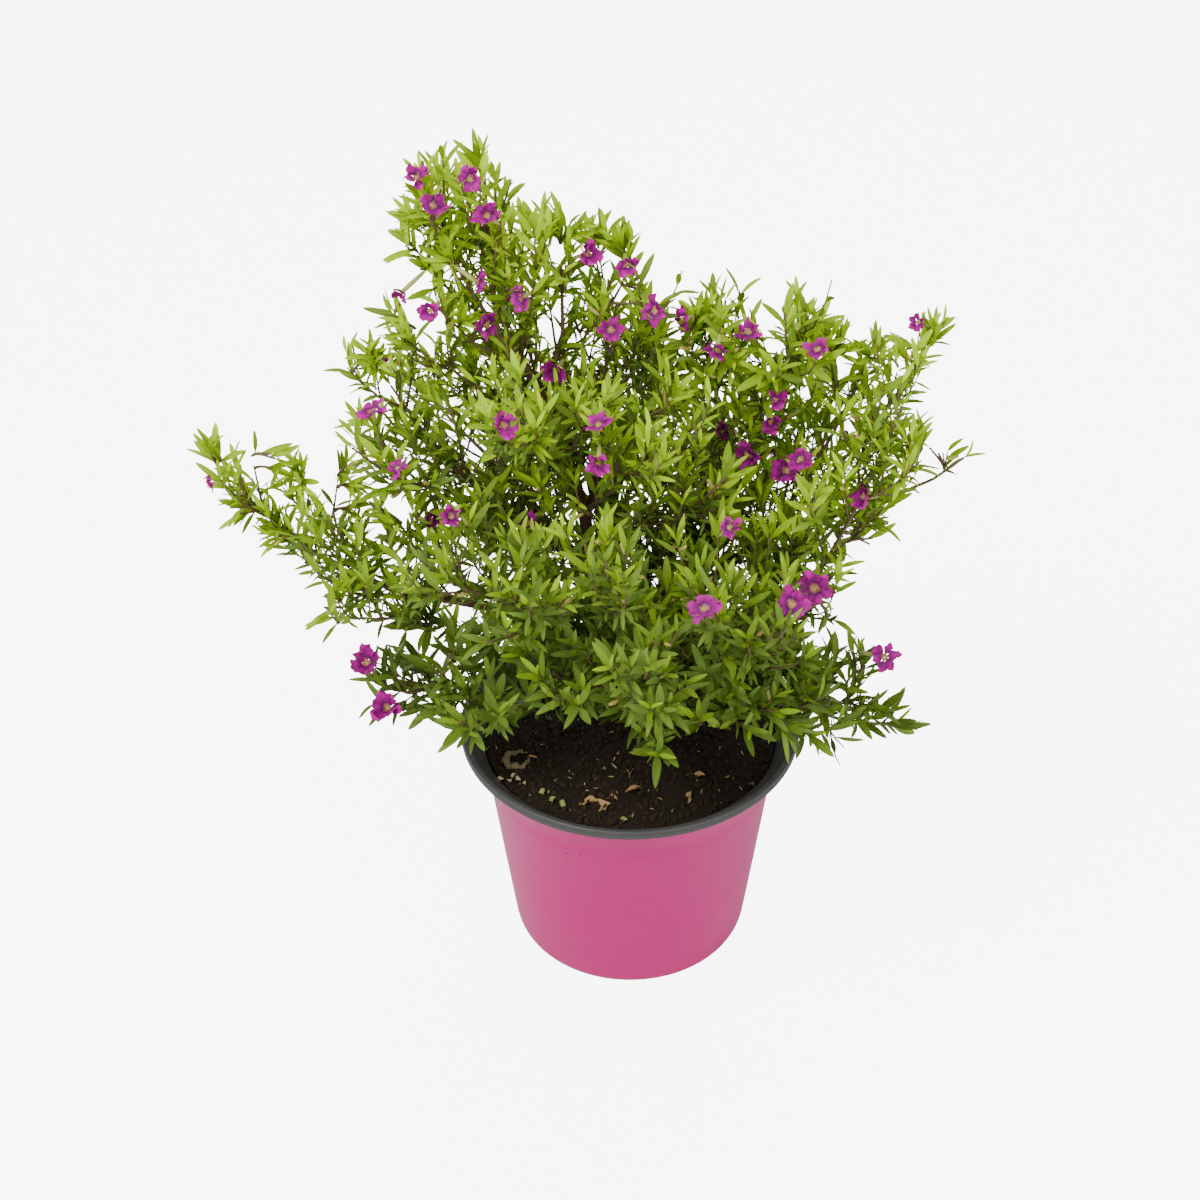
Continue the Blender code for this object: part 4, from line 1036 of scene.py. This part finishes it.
def lathe(name, profile, material, steps=128):
    """Turn a profile of (radius, height) pairs about the upright axis."""
    bm = bmesh.new()
    points = [bm.verts.new((r * MM, 0, z * MM)) for r, z in profile]
    edges = [bm.edges.new(pair) for pair in zip(points, points[1:])]
    bmesh.ops.spin(bm, geom=points + edges, cent=(0, 0, 0), axis=(0, 0, 1),
                   angle=math.tau, steps=steps, use_merge=True)
    bmesh.ops.remove_doubles(bm, verts=bm.verts, dist=0.000001)
    bmesh.ops.recalc_face_normals(bm, faces=bm.faces)
    mesh = bpy.data.meshes.new(name)
    bm.to_mesh(mesh)
    bm.free()
    mesh.materials.append(material)
    mesh.shade_smooth()
    mesh.set_sharp_from_angle(angle=math.radians(40))
    piece = bpy.data.objects.new(name, mesh)
    bpy.context.scene.collection.objects.link(piece)
    return piece


def drain_hole(number):
    """A peg where one drain hole is cut."""
    turn = math.tau * (number + 0.5) / DRAIN_HOLES
    bpy.ops.mesh.primitive_cylinder_add(
        vertices=32, radius=DRAIN_RADIUS * MM, depth=4 * POT_FLOOR * MM,
        location=(DRAIN_CIRCLE * MM * math.cos(turn), DRAIN_CIRCLE * MM * math.sin(turn), 0))
    return bpy.context.object


def make_pot():
    """The pink wall with its flare, crease, foot and drain holes."""
    crease = POT_WALL_TOP - COLLAR_HEIGHT
    heights = (98, 94, 92, 90, 88, 86, 84)
    inner = [(soft_wall(h) - POT_WALL, h) for h in reversed(heights)]
    outer = [(soft_wall(h), h) for h in heights]
    profile = [(0, POT_FLOOR), (soft_wall(POT_FLOOR) - POT_WALL, POT_FLOOR)] + inner
    profile += [(POT_TOP_RADIUS - POT_WALL, POT_WALL_TOP), (POT_TOP_RADIUS, POT_WALL_TOP)] + outer
    profile += [(soft_wall(crease), crease),
                (soft_wall(crease) - COLLAR_STEP * 0.7, crease - COLLAR_STEP * 0.5),
                (soft_wall(crease) - COLLAR_STEP, crease - COLLAR_STEP * 1.4),
                (soft_wall(40) - 0.1, 40), (soft_wall(4), 4), (soft_wall(1.8) - 0.2, 1.8),
                (POT_BASE_RADIUS - 0.5, 0.6), (POT_BASE_RADIUS - 1.5, 0), (0, 0)]
    pot = lathe("pot_wall", profile, POT_PLASTIC)
    for number in range(DRAIN_HOLES):
        peg = drain_hole(number)
        cut = pot.modifiers.new("hole", "BOOLEAN")
        cut.object = peg
        graph = bpy.context.evaluated_depsgraph_get()
        pot.data = bpy.data.meshes.new_from_object(pot.evaluated_get(graph))
        pot.modifiers.clear()
        bpy.data.objects.remove(peg, do_unlink=True)
    pot.data.name = "pot_wall"
    return pot


def make_rim():
    """The dark rim: a grooved lip over the pink wall and a flared skirt inside it."""
    foot = POT_WALL_TOP - RIM_SKIRT
    clear = POT_WALL + 0.3
    seat = POT_WALL_TOP + 0.3
    lip = RIM_RADIUS - RIM_LIP
    profile = [(soft_wall(h) - clear - RIM_SKIRT_WALL, h)
               for h in (foot, 86, 88, 90, 92, 94, 97, POT_HEIGHT - 6.1)]
    profile += [(lip - 1.2, POT_HEIGHT - 1.5), (lip - 0.5, POT_HEIGHT - 0.6), (lip + 0.2, POT_HEIGHT - 0.1)]
    profile += [(RIM_RADIUS - 1.0 + math.sin(a), POT_HEIGHT - 1.0 + math.cos(a))
                for a in (0, 0.4, 0.8, 1.2, 1.57)]
    profile += [(RIM_RADIUS - 0.35, POT_HEIGHT - 1.6), (RIM_RADIUS - 0.35, POT_HEIGHT - 1.9),
                (RIM_RADIUS, POT_HEIGHT - 2.4), (RIM_RADIUS, seat + 0.5), (RIM_RADIUS - 0.4, seat)]
    profile += [(soft_wall(h) - clear, h) for h in (seat, 97, 94, 92, 90, 88, 86, foot)]
    profile.append(profile[0])
    return lathe("rim_roll", profile, RIM_PLASTIC)


def soil_height(x, y):
    """Height of the crumbly soil, in millimetres."""
    where = Vector((x, y, 0))
    flat = math.hypot(x, y)
    rise = 0.9 * noise.noise(where * 0.06) + 0.7 * noise.noise(where * 0.22)
    rise += 0.45 * noise.noise(where * 0.6)
    edge = 1.5 * max(0.0, (flat - 50) / 14) ** 2
    return SOIL_TOP + rise - edge


def make_soil():
    """A crumbly top on the plug of soil."""
    edge = wall_radius(SOIL_TOP) - POT_WALL - RIM_SKIRT_WALL - 0.7
    bm = bmesh.new()
    rings = 64
    around = 160
    middle = bm.verts.new((0, 0, soil_height(0, 0) * MM))
    last = None
    for ring in range(1, rings + 1):
        radius = edge * ring / rings
        loop = []
        for index in range(around):
            turn = math.tau * index / around
            x = radius * math.cos(turn)
            y = radius * math.sin(turn)
            loop.append(bm.verts.new((x * MM, y * MM, soil_height(x, y) * MM)))
        for index in range(around):
            after = (index + 1) % around
            if last is None:
                bm.faces.new((middle, loop[index], loop[after]))
            else:
                bm.faces.new((last[index], loop[index], loop[after], last[after]))
        last = loop
    foot = [bm.verts.new((v.co.x * 0.74, v.co.y * 0.74, 0.003)) for v in last]
    for index in range(around):
        after = (index + 1) % around
        bm.faces.new((last[index], foot[index], foot[after], last[after]))
    bm.faces.new(list(reversed(foot)))
    bmesh.ops.recalc_face_normals(bm, faces=bm.faces)
    mesh = bpy.data.meshes.new("soil_bed")
    bm.to_mesh(mesh)
    bm.free()
    mesh.materials.append(SOIL)
    mesh.shade_smooth()
    piece = bpy.data.objects.new("soil_bed", mesh)
    bpy.context.scene.collection.objects.link(piece)
    return piece


def crumb_tree():
    """Rough crumbs scattered over a surface."""
    tree = bpy.data.node_groups.new("soil_crumbs", "GeometryNodeTree")
    tree.interface.new_socket("Geometry", in_out="INPUT", socket_type="NodeSocketGeometry")
    sockets(tree, "INPUT", (("Density", 1.0), ("Smallest", 1.0), ("Largest", 1.0)))
    tree.interface.new_socket("Seed", in_out="INPUT", socket_type="NodeSocketInt")
    tree.interface.new_socket("Material", in_out="INPUT", socket_type="NodeSocketMaterial")
    tree.interface.new_socket("Geometry", in_out="OUTPUT", socket_type="NodeSocketGeometry")
    given = node(tree, "NodeGroupInput")
    upward = node(tree, "ShaderNodeSeparateXYZ",
                  {0: node(tree, "GeometryNodeInputNormal").outputs[0]})
    height = node(tree, "ShaderNodeSeparateXYZ",
                  {0: node(tree, "GeometryNodeInputPosition").outputs[0]})
    top = node(tree, "FunctionNodeCompare",
               {0: maths(tree, "MULTIPLY", upward.outputs["Z"], height.outputs["Z"]), 1: 0.04},
               operation="GREATER_THAN")
    points = node(tree, "GeometryNodeDistributePointsOnFaces",
                  {"Mesh": given.outputs["Geometry"], "Selection": top.outputs[0],
                   "Density": given.outputs["Density"], "Seed": given.outputs["Seed"]})
    ball = node(tree, "GeometryNodeMeshIcoSphere", {"Radius": 0.5, "Subdivisions": 1})
    turn = node(tree, "FunctionNodeRandomValue", {1: (6.28, 6.28, 6.28)},
                data_type="FLOAT_VECTOR")
    even = node(tree, "FunctionNodeRandomValue", {"Seed": given.outputs["Seed"]})
    skew = maths(tree, "POWER", even.outputs[1], 2.5)
    span = maths(tree, "SUBTRACT", given.outputs["Largest"], given.outputs["Smallest"])
    size = maths(tree, "ADD", given.outputs["Smallest"], maths(tree, "MULTIPLY", skew, span))
    flat = node(tree, "ShaderNodeCombineXYZ",
                {"X": size, "Y": size, "Z": maths(tree, "MULTIPLY", size, 0.7)})
    placed = node(tree, "GeometryNodeInstanceOnPoints",
                  {"Points": points.outputs["Points"], "Instance": ball.outputs[0],
                   "Rotation": turn.outputs[0], "Scale": flat.outputs[0]})
    real = node(tree, "GeometryNodeRealizeInstances", {"Geometry": placed.outputs[0]})
    rough = node(tree, "ShaderNodeTexNoise", {"Scale": 900.0})
    tree.links.new(node(tree, "GeometryNodeInputPosition").outputs[0], rough.inputs["Vector"])
    shift = node(tree, "ShaderNodeVectorMath", {0: rough.outputs["Color"], 1: (0.5, 0.5, 0.5)},
                 operation="SUBTRACT")
    shift = node(tree, "ShaderNodeVectorMath", {0: shift.outputs[0], "Scale": 0.0012},
                 operation="SCALE")
    ragged = node(tree, "GeometryNodeSetPosition", {"Geometry": real.outputs[0],
                                                    "Offset": shift.outputs[0]})
    painted = node(tree, "GeometryNodeSetMaterial", {"Geometry": ragged.outputs[0],
                                                     "Material": given.outputs["Material"]})
    node(tree, "NodeGroupOutput", {"Geometry": painted.outputs[0]})
    return tree


def placed_rows(places, rng):
    """Litter at chosen places: millimetres right and back, length and width, turn."""
    rows = []
    for x, y, length, width, turn in places:
        place = Vector((x, y, soil_height(x, y) + 1.0)) * MM
        lean = (rng.uniform(-0.25, 0.25), rng.uniform(-0.35, 0.35), math.radians(turn))
        scale = (width / LEAF_WIDTH, length / LEAF_LENGTH, rng.uniform(1.5, 4.0))
        rows.append((place, lean, scale))
    return rows


def curled_leaf():
    """The big curled leaf that lies at the left of the soil."""
    x, y, radius = CURLED_LEAF
    line = []
    for step in range(25):
        turn = math.radians(60 + 310 * step / 24)
        bump = 1.2 + 0.7 * math.sin(step * 1.3)
        line.append(Vector((x + radius * math.cos(turn), y + radius * math.sin(turn),
                            soil_height(x, y) + bump)) * MM)
    radii = [(0.5 + 1.1 * math.sin(math.pi * step / 24) + 0.25 * math.sin(step * 2.1)) * MM
             for step in range(25)]
    piece = make_tubes("curled_leaf", [(line, radii)], 2, CURLED)
    rough_bark(piece, 0.5)
    return piece


def litter_rows(count, sizes, rng):
    """Dry leaves and flakes that lie on the soil."""
    rows = []
    for _ in range(count):
        turn = rng.uniform(0, math.tau)
        flat = 58 * math.sqrt(rng.random())
        x, y = flat * math.cos(turn), flat * math.sin(turn)
        place = Vector((x, y, soil_height(x, y) + 0.7)) * MM
        lean = (rng.uniform(-0.5, 0.5), rng.uniform(-0.5, 0.5), rng.uniform(0, math.tau))
        size = rng.uniform(*sizes)
        rows.append((place, lean, (size * rng.uniform(0.7, 1.6), size, rng.uniform(-1.5, 2.5))))
    return rows


# Blossom

def petal_tree():
    """A crinkled petal on every point, turned and sized by attributes."""
    tree = bpy.data.node_groups.new("petals", "GeometryNodeTree")
    tree.interface.new_socket("Geometry", in_out="INPUT", socket_type="NodeSocketGeometry")
    sockets(tree, "INPUT", (("Length", 1.0), ("Width", 1.0), ("Crinkle", 0.3)))
    tree.interface.new_socket("Material", in_out="INPUT", socket_type="NodeSocketMaterial")
    tree.interface.new_socket("Geometry", in_out="OUTPUT", socket_type="NodeSocketGeometry")
    given = node(tree, "NodeGroupInput")
    grid = node(tree, "GeometryNodeMeshGrid", {"Size X": 1.0, "Size Y": 1.0,
                                               "Vertices X": 6, "Vertices Y": 9})
    place = node(tree, "ShaderNodeSeparateXYZ",
                 {0: node(tree, "GeometryNodeInputPosition").outputs[0]})
    share = maths(tree, "ADD", place.outputs["Y"], 0.5)
    along = maths(tree, "SINE", maths(tree, "MULTIPLY", share, math.pi / 2))
    off_middle = maths(tree, "POWER", maths(tree, "ABSOLUTE", maths(tree, "SUBTRACT", along, 0.6)), 2.0)
    round_part = maths(tree, "SQRT", maths(tree, "MAXIMUM", maths(
        tree, "SUBTRACT", 0.16, off_middle), 0.0))
    claw = maths(tree, "MULTIPLY", maths(tree, "SUBTRACT", 1.0, share), 0.12)
    half = maths(tree, "MULTIPLY", maths(tree, "MAXIMUM", round_part, claw), 2.0)
    side = maths(tree, "MULTIPLY", place.outputs["X"],
                 maths(tree, "MULTIPLY", half, given.outputs["Width"]))
    reach = maths(tree, "MULTIPLY", along, given.outputs["Length"])
    shaped = node(tree, "ShaderNodeCombineXYZ", {"X": side, "Y": reach, "Z": 0.0})
    petal = node(tree, "GeometryNodeSetPosition", {"Geometry": grid.outputs["Mesh"],
                                                   "Position": shaped.outputs[0]})
    marked = node(tree, "GeometryNodeStoreNamedAttribute",
                  {"Geometry": petal.outputs[0], "Name": "outwards"}, data_type="FLOAT")
    distance = node(tree, "ShaderNodeVectorMath",
                    {0: node(tree, "GeometryNodeInputPosition").outputs[0]}, operation="LENGTH")
    tree.links.new(maths(tree, "DIVIDE", distance.outputs["Value"], given.outputs["Length"]),
                   next(s for s in marked.inputs if s.name == "Value" and s.enabled))
    turn = node(tree, "GeometryNodeInputNamedAttribute", {"Name": "turn"}, data_type="FLOAT_VECTOR")
    size = node(tree, "GeometryNodeInputNamedAttribute", {"Name": "size"}, data_type="FLOAT_VECTOR")
    placed = node(tree, "GeometryNodeInstanceOnPoints",
                  {"Points": given.outputs["Geometry"], "Instance": marked.outputs[0],
                   "Rotation": turn.outputs[0], "Scale": size.outputs[0]})
    real = node(tree, "GeometryNodeRealizeInstances", {"Geometry": placed.outputs[0]})
    ripple = node(tree, "ShaderNodeTexNoise", {"Scale": 520.0, "Detail": 2.0})
    tree.links.new(node(tree, "GeometryNodeInputPosition").outputs[0], ripple.inputs["Vector"])
    shift = node(tree, "ShaderNodeVectorMath", {0: ripple.outputs["Color"], 1: (0.5, 0.5, 0.5)},
                 operation="SUBTRACT")
    outwards = node(tree, "GeometryNodeInputNamedAttribute", {"Name": "outwards"},
                    data_type="FLOAT")
    amount = maths(tree, "MULTIPLY", outwards.outputs[0], given.outputs["Crinkle"])
    shift = node(tree, "ShaderNodeVectorMath", {0: shift.outputs[0]}, operation="SCALE")
    tree.links.new(amount, shift.inputs["Scale"])
    crinkled = node(tree, "GeometryNodeSetPosition", {"Geometry": real.outputs[0],
                                                      "Offset": shift.outputs[0]})
    painted = node(tree, "GeometryNodeSetMaterial", {"Geometry": crinkled.outputs[0],
                                                     "Material": given.outputs["Material"]})
    node(tree, "NodeGroupOutput", {"Geometry": painted.outputs[0]})
    return tree


def blossom_rows(flowers):
    """Rows of petals, six to a flower, slightly cupped and unlike each other."""
    rng = random.Random(5)
    petals = []
    for foot, mouth, flower_size in flowers:
        way = (mouth - foot).normalized()
        to_camera = (CAMERA_PLACE - mouth).normalized()
        if way.y > 0.2:
            to_camera = way
        face_way = way + to_camera * rng.uniform(-0.4, 1.0) + UP * 0.2
        face_way += Vector([rng.uniform(-0.5, 0.5) for _ in range(3)])
        face_way.normalize()
        frame = face_way.to_track_quat("Z", "Y").to_matrix()
        spin = rng.uniform(0, 60)
        flat = rng.uniform(5, 38)
        for index in range(6):
            turn = math.radians(spin + index * 60 + rng.uniform(-8, 8))
            out = frame @ Vector((math.cos(turn), math.sin(turn), 0))
            cup = math.radians(flat + rng.uniform(-18, 18))
            along = out * math.cos(cup) + face_way * math.sin(cup)
            face = face_way * math.cos(cup) - out * math.sin(cup)
            across = along.cross(face)
            size = flower_size * rng.uniform(0.8, 1.15)
            petals.append((mouth + out * 0.3 * MM,
                           Matrix((across, along, face)).transposed().to_euler(),
                           (size * rng.uniform(0.9, 1.1), size, 1.0)))
    return petals


def place_flowers(twigs):
    """Foot and mouth of each calyx, on the twig that is nearest to its line of sight."""
    feet = []
    for twig in twigs:
        if twig.rank:
            for share in (0.75, 0.85, 0.95):
                feet.append(twig.at(share)[0])
    flowers = []
    taken = set()
    for right, up, size in BLOSSOM:
        sight = (Vector((right, 0, up)) * MM - CAMERA_PLACE).normalized()
        best = None
        for index, foot in enumerate(feet):
            depth = (foot - CAMERA_PLACE).dot(sight)
            near = CAMERA_PLACE + sight * depth
            miss = (foot - near).length
            if index in taken or miss > 1.8 * CALYX_LENGTH * MM:
                continue
            cost = depth + 1.5 * miss + (1.0 if miss > 0.9 * CALYX_LENGTH * MM else 0.0)
            if best is None or cost < best[0]:
                rise = math.sqrt(max((CALYX_LENGTH * MM) ** 2 - miss ** 2, (3 * MM) ** 2))
                best = (cost, index, foot, near - sight * rise, size)
        if best:
            taken.add(best[1])
            flowers.append(best[2:])
    return flowers


def back_flowers(twigs, rng):
    """Foot and mouth of a few calyces on the far side of the crown."""
    found = []
    for twig in twigs:
        foot, along = twig.at(0.88)
        if not twig.rank or foot.y < 42 * MM or foot.z > 260 * MM or rng.random() > 0.15:
            continue
        if any((foot - other).length < 26 * MM for other, _, _ in found):
            continue
        outwards = Vector((foot.x * 0.6, foot.y, 0)).normalized()
        way = (along * 0.4 + outwards).normalized()
        found.append((foot, foot + way * CALYX_LENGTH * MM, 1.1))
    return found


def in_front(leaf_place, flowers):
    """True where a leaf would hide a flower from the camera."""
    for _, mouth, _ in flowers:
        sight = (mouth - CAMERA_PLACE).normalized()
        depth = (leaf_place - CAMERA_PLACE).dot(sight)
        if depth < (mouth - CAMERA_PLACE).length + 1.5 * MM:
            if (CAMERA_PLACE + sight * depth - leaf_place).length < 3.2 * MM:
                return True
    return False


def spent_calyces(twigs, flowers, rng):
    """Foot and mouth of old calyces and buds near the tips of leafy twigs."""
    found = []
    taken = [foot for foot, _, _ in flowers]
    for twig in twigs:
        if twig.rank == 0 or rng.random() > 0.16:
            continue
        foot, along = twig.at(rng.uniform(0.6, 0.95))
        if foot.z < 150 * MM or any((foot - other).length < 6 * MM for other in taken):
            continue
        side = side_frame(along, rng.uniform(0, 360))
        way = (along * 0.5 + side + UP * 0.3).normalized()
        found.append((foot, foot + way * rng.uniform(4, 7) * MM))
        taken.append(foot)
    return found


# Stage

def make_stage():
    """A pale floor, soft lights and the camera at the photograph's angle."""
    bpy.ops.mesh.primitive_plane_add(size=6)
    floor = bpy.context.object
    floor.name = "floor"
    paint = finish("floor_paint", (0.86, 0.86, 0.86), 0.7, mottle=(3, 0.01), grain=(200, 0.01),
                   bump=0.02)
    tree = paint.node_tree
    glow = maths(tree, "MULTIPLY", node(tree, "ShaderNodeLightPath").outputs["Is Camera Ray"],
                 FLOOR_GLOW)
    tree.nodes["Principled BSDF"].inputs["Emission Color"].default_value = (1, 1, 1, 1)
    tree.links.new(glow, tree.nodes["Principled BSDF"].inputs["Emission Strength"])
    floor.data.materials.append(paint)
    world = bpy.data.worlds.new("studio")
    world.use_nodes = True
    world.node_tree.nodes["Background"].inputs["Color"].default_value = (1, 1, 1, 1)
    tree = world.node_tree
    glow = maths(tree, "MULTIPLY", node(tree, "ShaderNodeLightPath").outputs["Is Camera Ray"],
                 FLOOR_GLOW)
    tree.links.new(maths(tree, "ADD", glow, WORLD_LIGHT), tree.nodes["Background"].inputs["Strength"])
    bpy.context.scene.world = world
    for name, place, size, power in (("key", (-0.7, -0.6, 1.3), 0.7, 16.0),
                                     ("fill", (0.9, -0.9, 0.7), 1.0, 5.0),
                                     ("back", (0.3, 1.1, 1.1), 0.8, 5.0)):
        light = bpy.data.lights.new(name, "AREA")
        light.size = size
        light.energy = power
        lamp = bpy.data.objects.new(name, light)
        lamp.location = place
        aim = Vector((0, 0, 0.18)) - Vector(place)
        lamp.rotation_euler = aim.to_track_quat("-Z", "Y").to_euler()
        bpy.context.scene.collection.objects.link(lamp)
    lens = bpy.data.cameras.new("camera")
    lens.lens = 54
    lens.sensor_width = 36
    lens.clip_start = 0.01
    camera = bpy.data.objects.new("camera", lens)
    lens.shift_x = -0.025
    pitch = math.radians(35.47)
    aim = Vector((0, math.cos(pitch), -math.sin(pitch)))
    camera.location = CAMERA_PLACE
    camera.rotation_euler = aim.to_track_quat("-Z", "Y").to_euler()
    bpy.context.scene.collection.objects.link(camera)
    bpy.context.scene.camera = camera


# Materials of the plant and its pot

POT_PLASTIC = finish("pink_plastic", (0.60, 0.001, 0.19), 0.36, mottle=(22, 0.05),
                     grain=(1400, 0.03), bump=0.06, depth=0.1, specular=0.3)
RIM_PLASTIC = finish("charcoal_plastic", (0.055, 0.055, 0.052), 0.45, mottle=(40, 0.15),
                     grain=(1200, 0.15), bump=0.1, depth=0.1)
SOIL = finish("potting_soil", (0.022, 0.015, 0.009), 0.95, mottle=(160, 0.5),
              grain=(1500, 0.8), bump=0.8, depth=0.6, specular=0.2)
BARK = finish("bark", (0.12, 0.062, 0.035), 0.75, mottle=(120, 0.4), grain=(900, 0.5),
              stretch=0.25, bump=0.6, depth=0.3, specular=0.3)
TWIG = finish("twig", (0.17, 0.11, 0.045), 0.6, mottle=(150, 0.3), grain=(1200, 0.3),
              bump=0.3, depth=0.1)
CRUMB = finish("soil_crumb", (0.032, 0.021, 0.012), 0.95, mottle=(300, 0.7), grain=(1500, 0.5),
               bump=0.5, depth=0.3, specular=0.2)
DRY_LEAF = finish("dry_leaf", (0.42, 0.25, 0.10), 0.7, mottle=(200, 0.5), grain=(1200, 0.3))
PALE_FLAKE = finish("pale_flake", (0.50, 0.40, 0.24), 0.8, mottle=(200, 0.4), grain=(1200, 0.3))
CURLED = finish("curled_leaf", (0.17, 0.14, 0.055), 0.7, mottle=(260, 0.6), grain=(1200, 0.4),
                bump=0.4)
FALLEN_GREEN = finish("fallen_green", (0.26, 0.30, 0.07), 0.6, mottle=(200, 0.4),
                      grain=(1200, 0.3))
PETAL = finish("petal", (0.40, 0.001, 0.22), 0.6, mottle=(420, 1.0), grain=(1500, 0.3),
               bump=0.3, depth=0.1, specular=0.25)
CALYX = finish("calyx", (0.48, 0.47, 0.12), 0.5, mottle=(300, 0.3), grain=(1500, 0.2), bump=0.2)
SPENT = finish("spent_calyx", (0.55, 0.47, 0.10), 0.5, mottle=(160, 0.6), grain=(1500, 0.2), bump=0.2)
LEAF_PAINT = {name: finish("leaf_" + name, colour, 0.5, mottle=(90, 0.2), grain=(1300, 0.12),
                           bump=0.15, depth=0.1, specular=0.12)
              for name, colour in LEAF_COLOURS.items()}
for name, (red, green, blue) in LEAF_COLOURS.items():
    rib = (red * 1.2 + 0.015, green * 1.15 + 0.015, blue * 1.2 + 0.005)
    banded(LEAF_PAINT[name], "off_rib", ((0.0, rib), (0.22, (red * 0.92, green * 0.92, blue)),
                                         (0.8, (red, green, blue)), (1.0, (red * 1.1, green * 1.1, blue))))
    uneven(LEAF_PAINT[name], 0.72, 1.26)
banded(PETAL, "outwards", ((0.0, (0.62, 0.36, 0.10)), (0.16, (0.50, 0.20, 0.12)),
                           (0.3, (0.15, 0.0005, 0.13)), (1.0, (0.58, 0.005, 0.34))))


def main():
    """Grow the plant, fill the pot, set the stage."""
    space = Space()
    shoots = grow_shoots(space)
    space.balance()
    rng = random.Random(77)
    leaves = {kind: [] for kind in range(len(LEAF_KINDS))}
    twigs = []
    for name, family in shoots.items():
        bearers = () if name in SPARSE_MASSES else family
        fine = [twig for shoot in bearers for twig in finer_twigs(shoot, space, rng)]
        high = family[0].line[-1].z > 180 * MM
        longer(family[0], 15 if high else 6)
        for shoot in family[1:]:
            longer(shoot, 7 if high else 4)
        twigs += family + fine
    for limb_twig in limb_twigs(space, rng):
        twigs += [limb_twig] + finer_twigs(limb_twig, space, rng)
    for spray in extra_sprays(twigs, rng):
        twigs += [spray] + finer_twigs(spray, space, rng)
    twigs = [twig for twig in map(trimmed, twigs) if twig and clear_of_soil(twig)]
    flowers = place_flowers(twigs)
    for twig in twigs:
        dress_twig(twig, leaves, rng)
    for kind, rows in leaves.items():
        leaves[kind] = [row for row in rows if not in_front(row[0], flowers)]
    flowers += back_flowers(twigs, random.Random(19))
    masses = list(MASSES)
    stems = make_tubes("stems", [(t.line, t.radii) for t in twigs if t.rank == 0], 2, TWIG)
    fine = make_tubes("twigs", [(t.line, t.radii) for t in twigs if t.rank > 0], 1, TWIG)
    carried(stems)
    carried(fine)
    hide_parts(*masses)
    tree = leaf_tree()
    sizes = {"Length": LEAF_LENGTH * MM, "Width": LEAF_WIDTH * MM, "Fold": 0.45, "Droop": 0.12}
    for kind, rows in leaves.items():
        name = "leaves_" + LEAF_KINDS[kind]
        piece = dressed(name, point_cloud(name + "_points", rows), tree, sizes,
                        LEAF_PAINT[LEAF_KINDS[kind]])
        carried(piece)
        print("COUNT", name, len(rows))
    petals = dressed("petals", point_cloud("petal_points", blossom_rows(flowers)), petal_tree(),
                     {"Length": PETAL_LENGTH * MM, "Width": PETAL_WIDTH * MM,
                      "Crinkle": 5.8 * MM}, PETAL)
    carried(petals)
    spent = spent_calyces(twigs, flowers, random.Random(31))
    old = make_tubes("spent_calyces", [
        ([foot.lerp(mouth, share) for share in (0, 0.3, 0.75, 1.0)],
         [size * CALYX_RADIUS * MM for size in (0.3, 0.85, 0.9, 0.45)])
        for foot, mouth in spent], 1, SPENT)
    carried(old)
    calyces = make_tubes("calyces", [
        ([foot.lerp(mouth, share) for share in (0, 0.25, 0.7, 1.0)],
         [size * CALYX_RADIUS * MM for size in (0.3, 0.8, 1.0, 0.9)])
        for foot, mouth, _ in flowers], 2, CALYX)
    carried(calyces)
    limbs = [trunk_line(10)] + [bough_line(name, 16) for name in BOUGHS]
    bark = make_tubes("bark", limbs, 8, BARK)
    rough_bark(bark, 0.35)
    carried(bark)
    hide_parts("trunk", *BOUGHS)
    pot = carried(make_pot())
    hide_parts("pot")
    rim = carried(make_rim())
    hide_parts("pot_rim")
    soil = make_soil()
    crumbs = dressed("soil_crumbs", soil.copy(), crumb_tree(),
                     {"Density": 260000.0, "Smallest": 0.5 * MM, "Largest": 4.0 * MM, "Seed": 3},
                     CRUMB)
    carried(crumbs)
    carried(soil)
    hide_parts("soil")
    litter_rng = random.Random(12)
    for name, places, count, spread, material in (
            ("dry_leaves", TAN_LITTER, 18, (0.15, 0.4), DRY_LEAF),
            ("pale_flakes", PALE_LITTER, 90, (0.06, 0.17), PALE_FLAKE),
            ("fallen_green", GREEN_LITTER, 10, (0.12, 0.3), FALLEN_GREEN)):
        if material is FALLEN_GREEN:
            sizes["Width"] *= 0.7
        rows = placed_rows(places, litter_rng) + litter_rows(count, spread, litter_rng)
        carried(dressed(name, point_cloud(name + "_points", rows), tree, sizes, material))
    carried(curled_leaf())
    make_stage()


main()
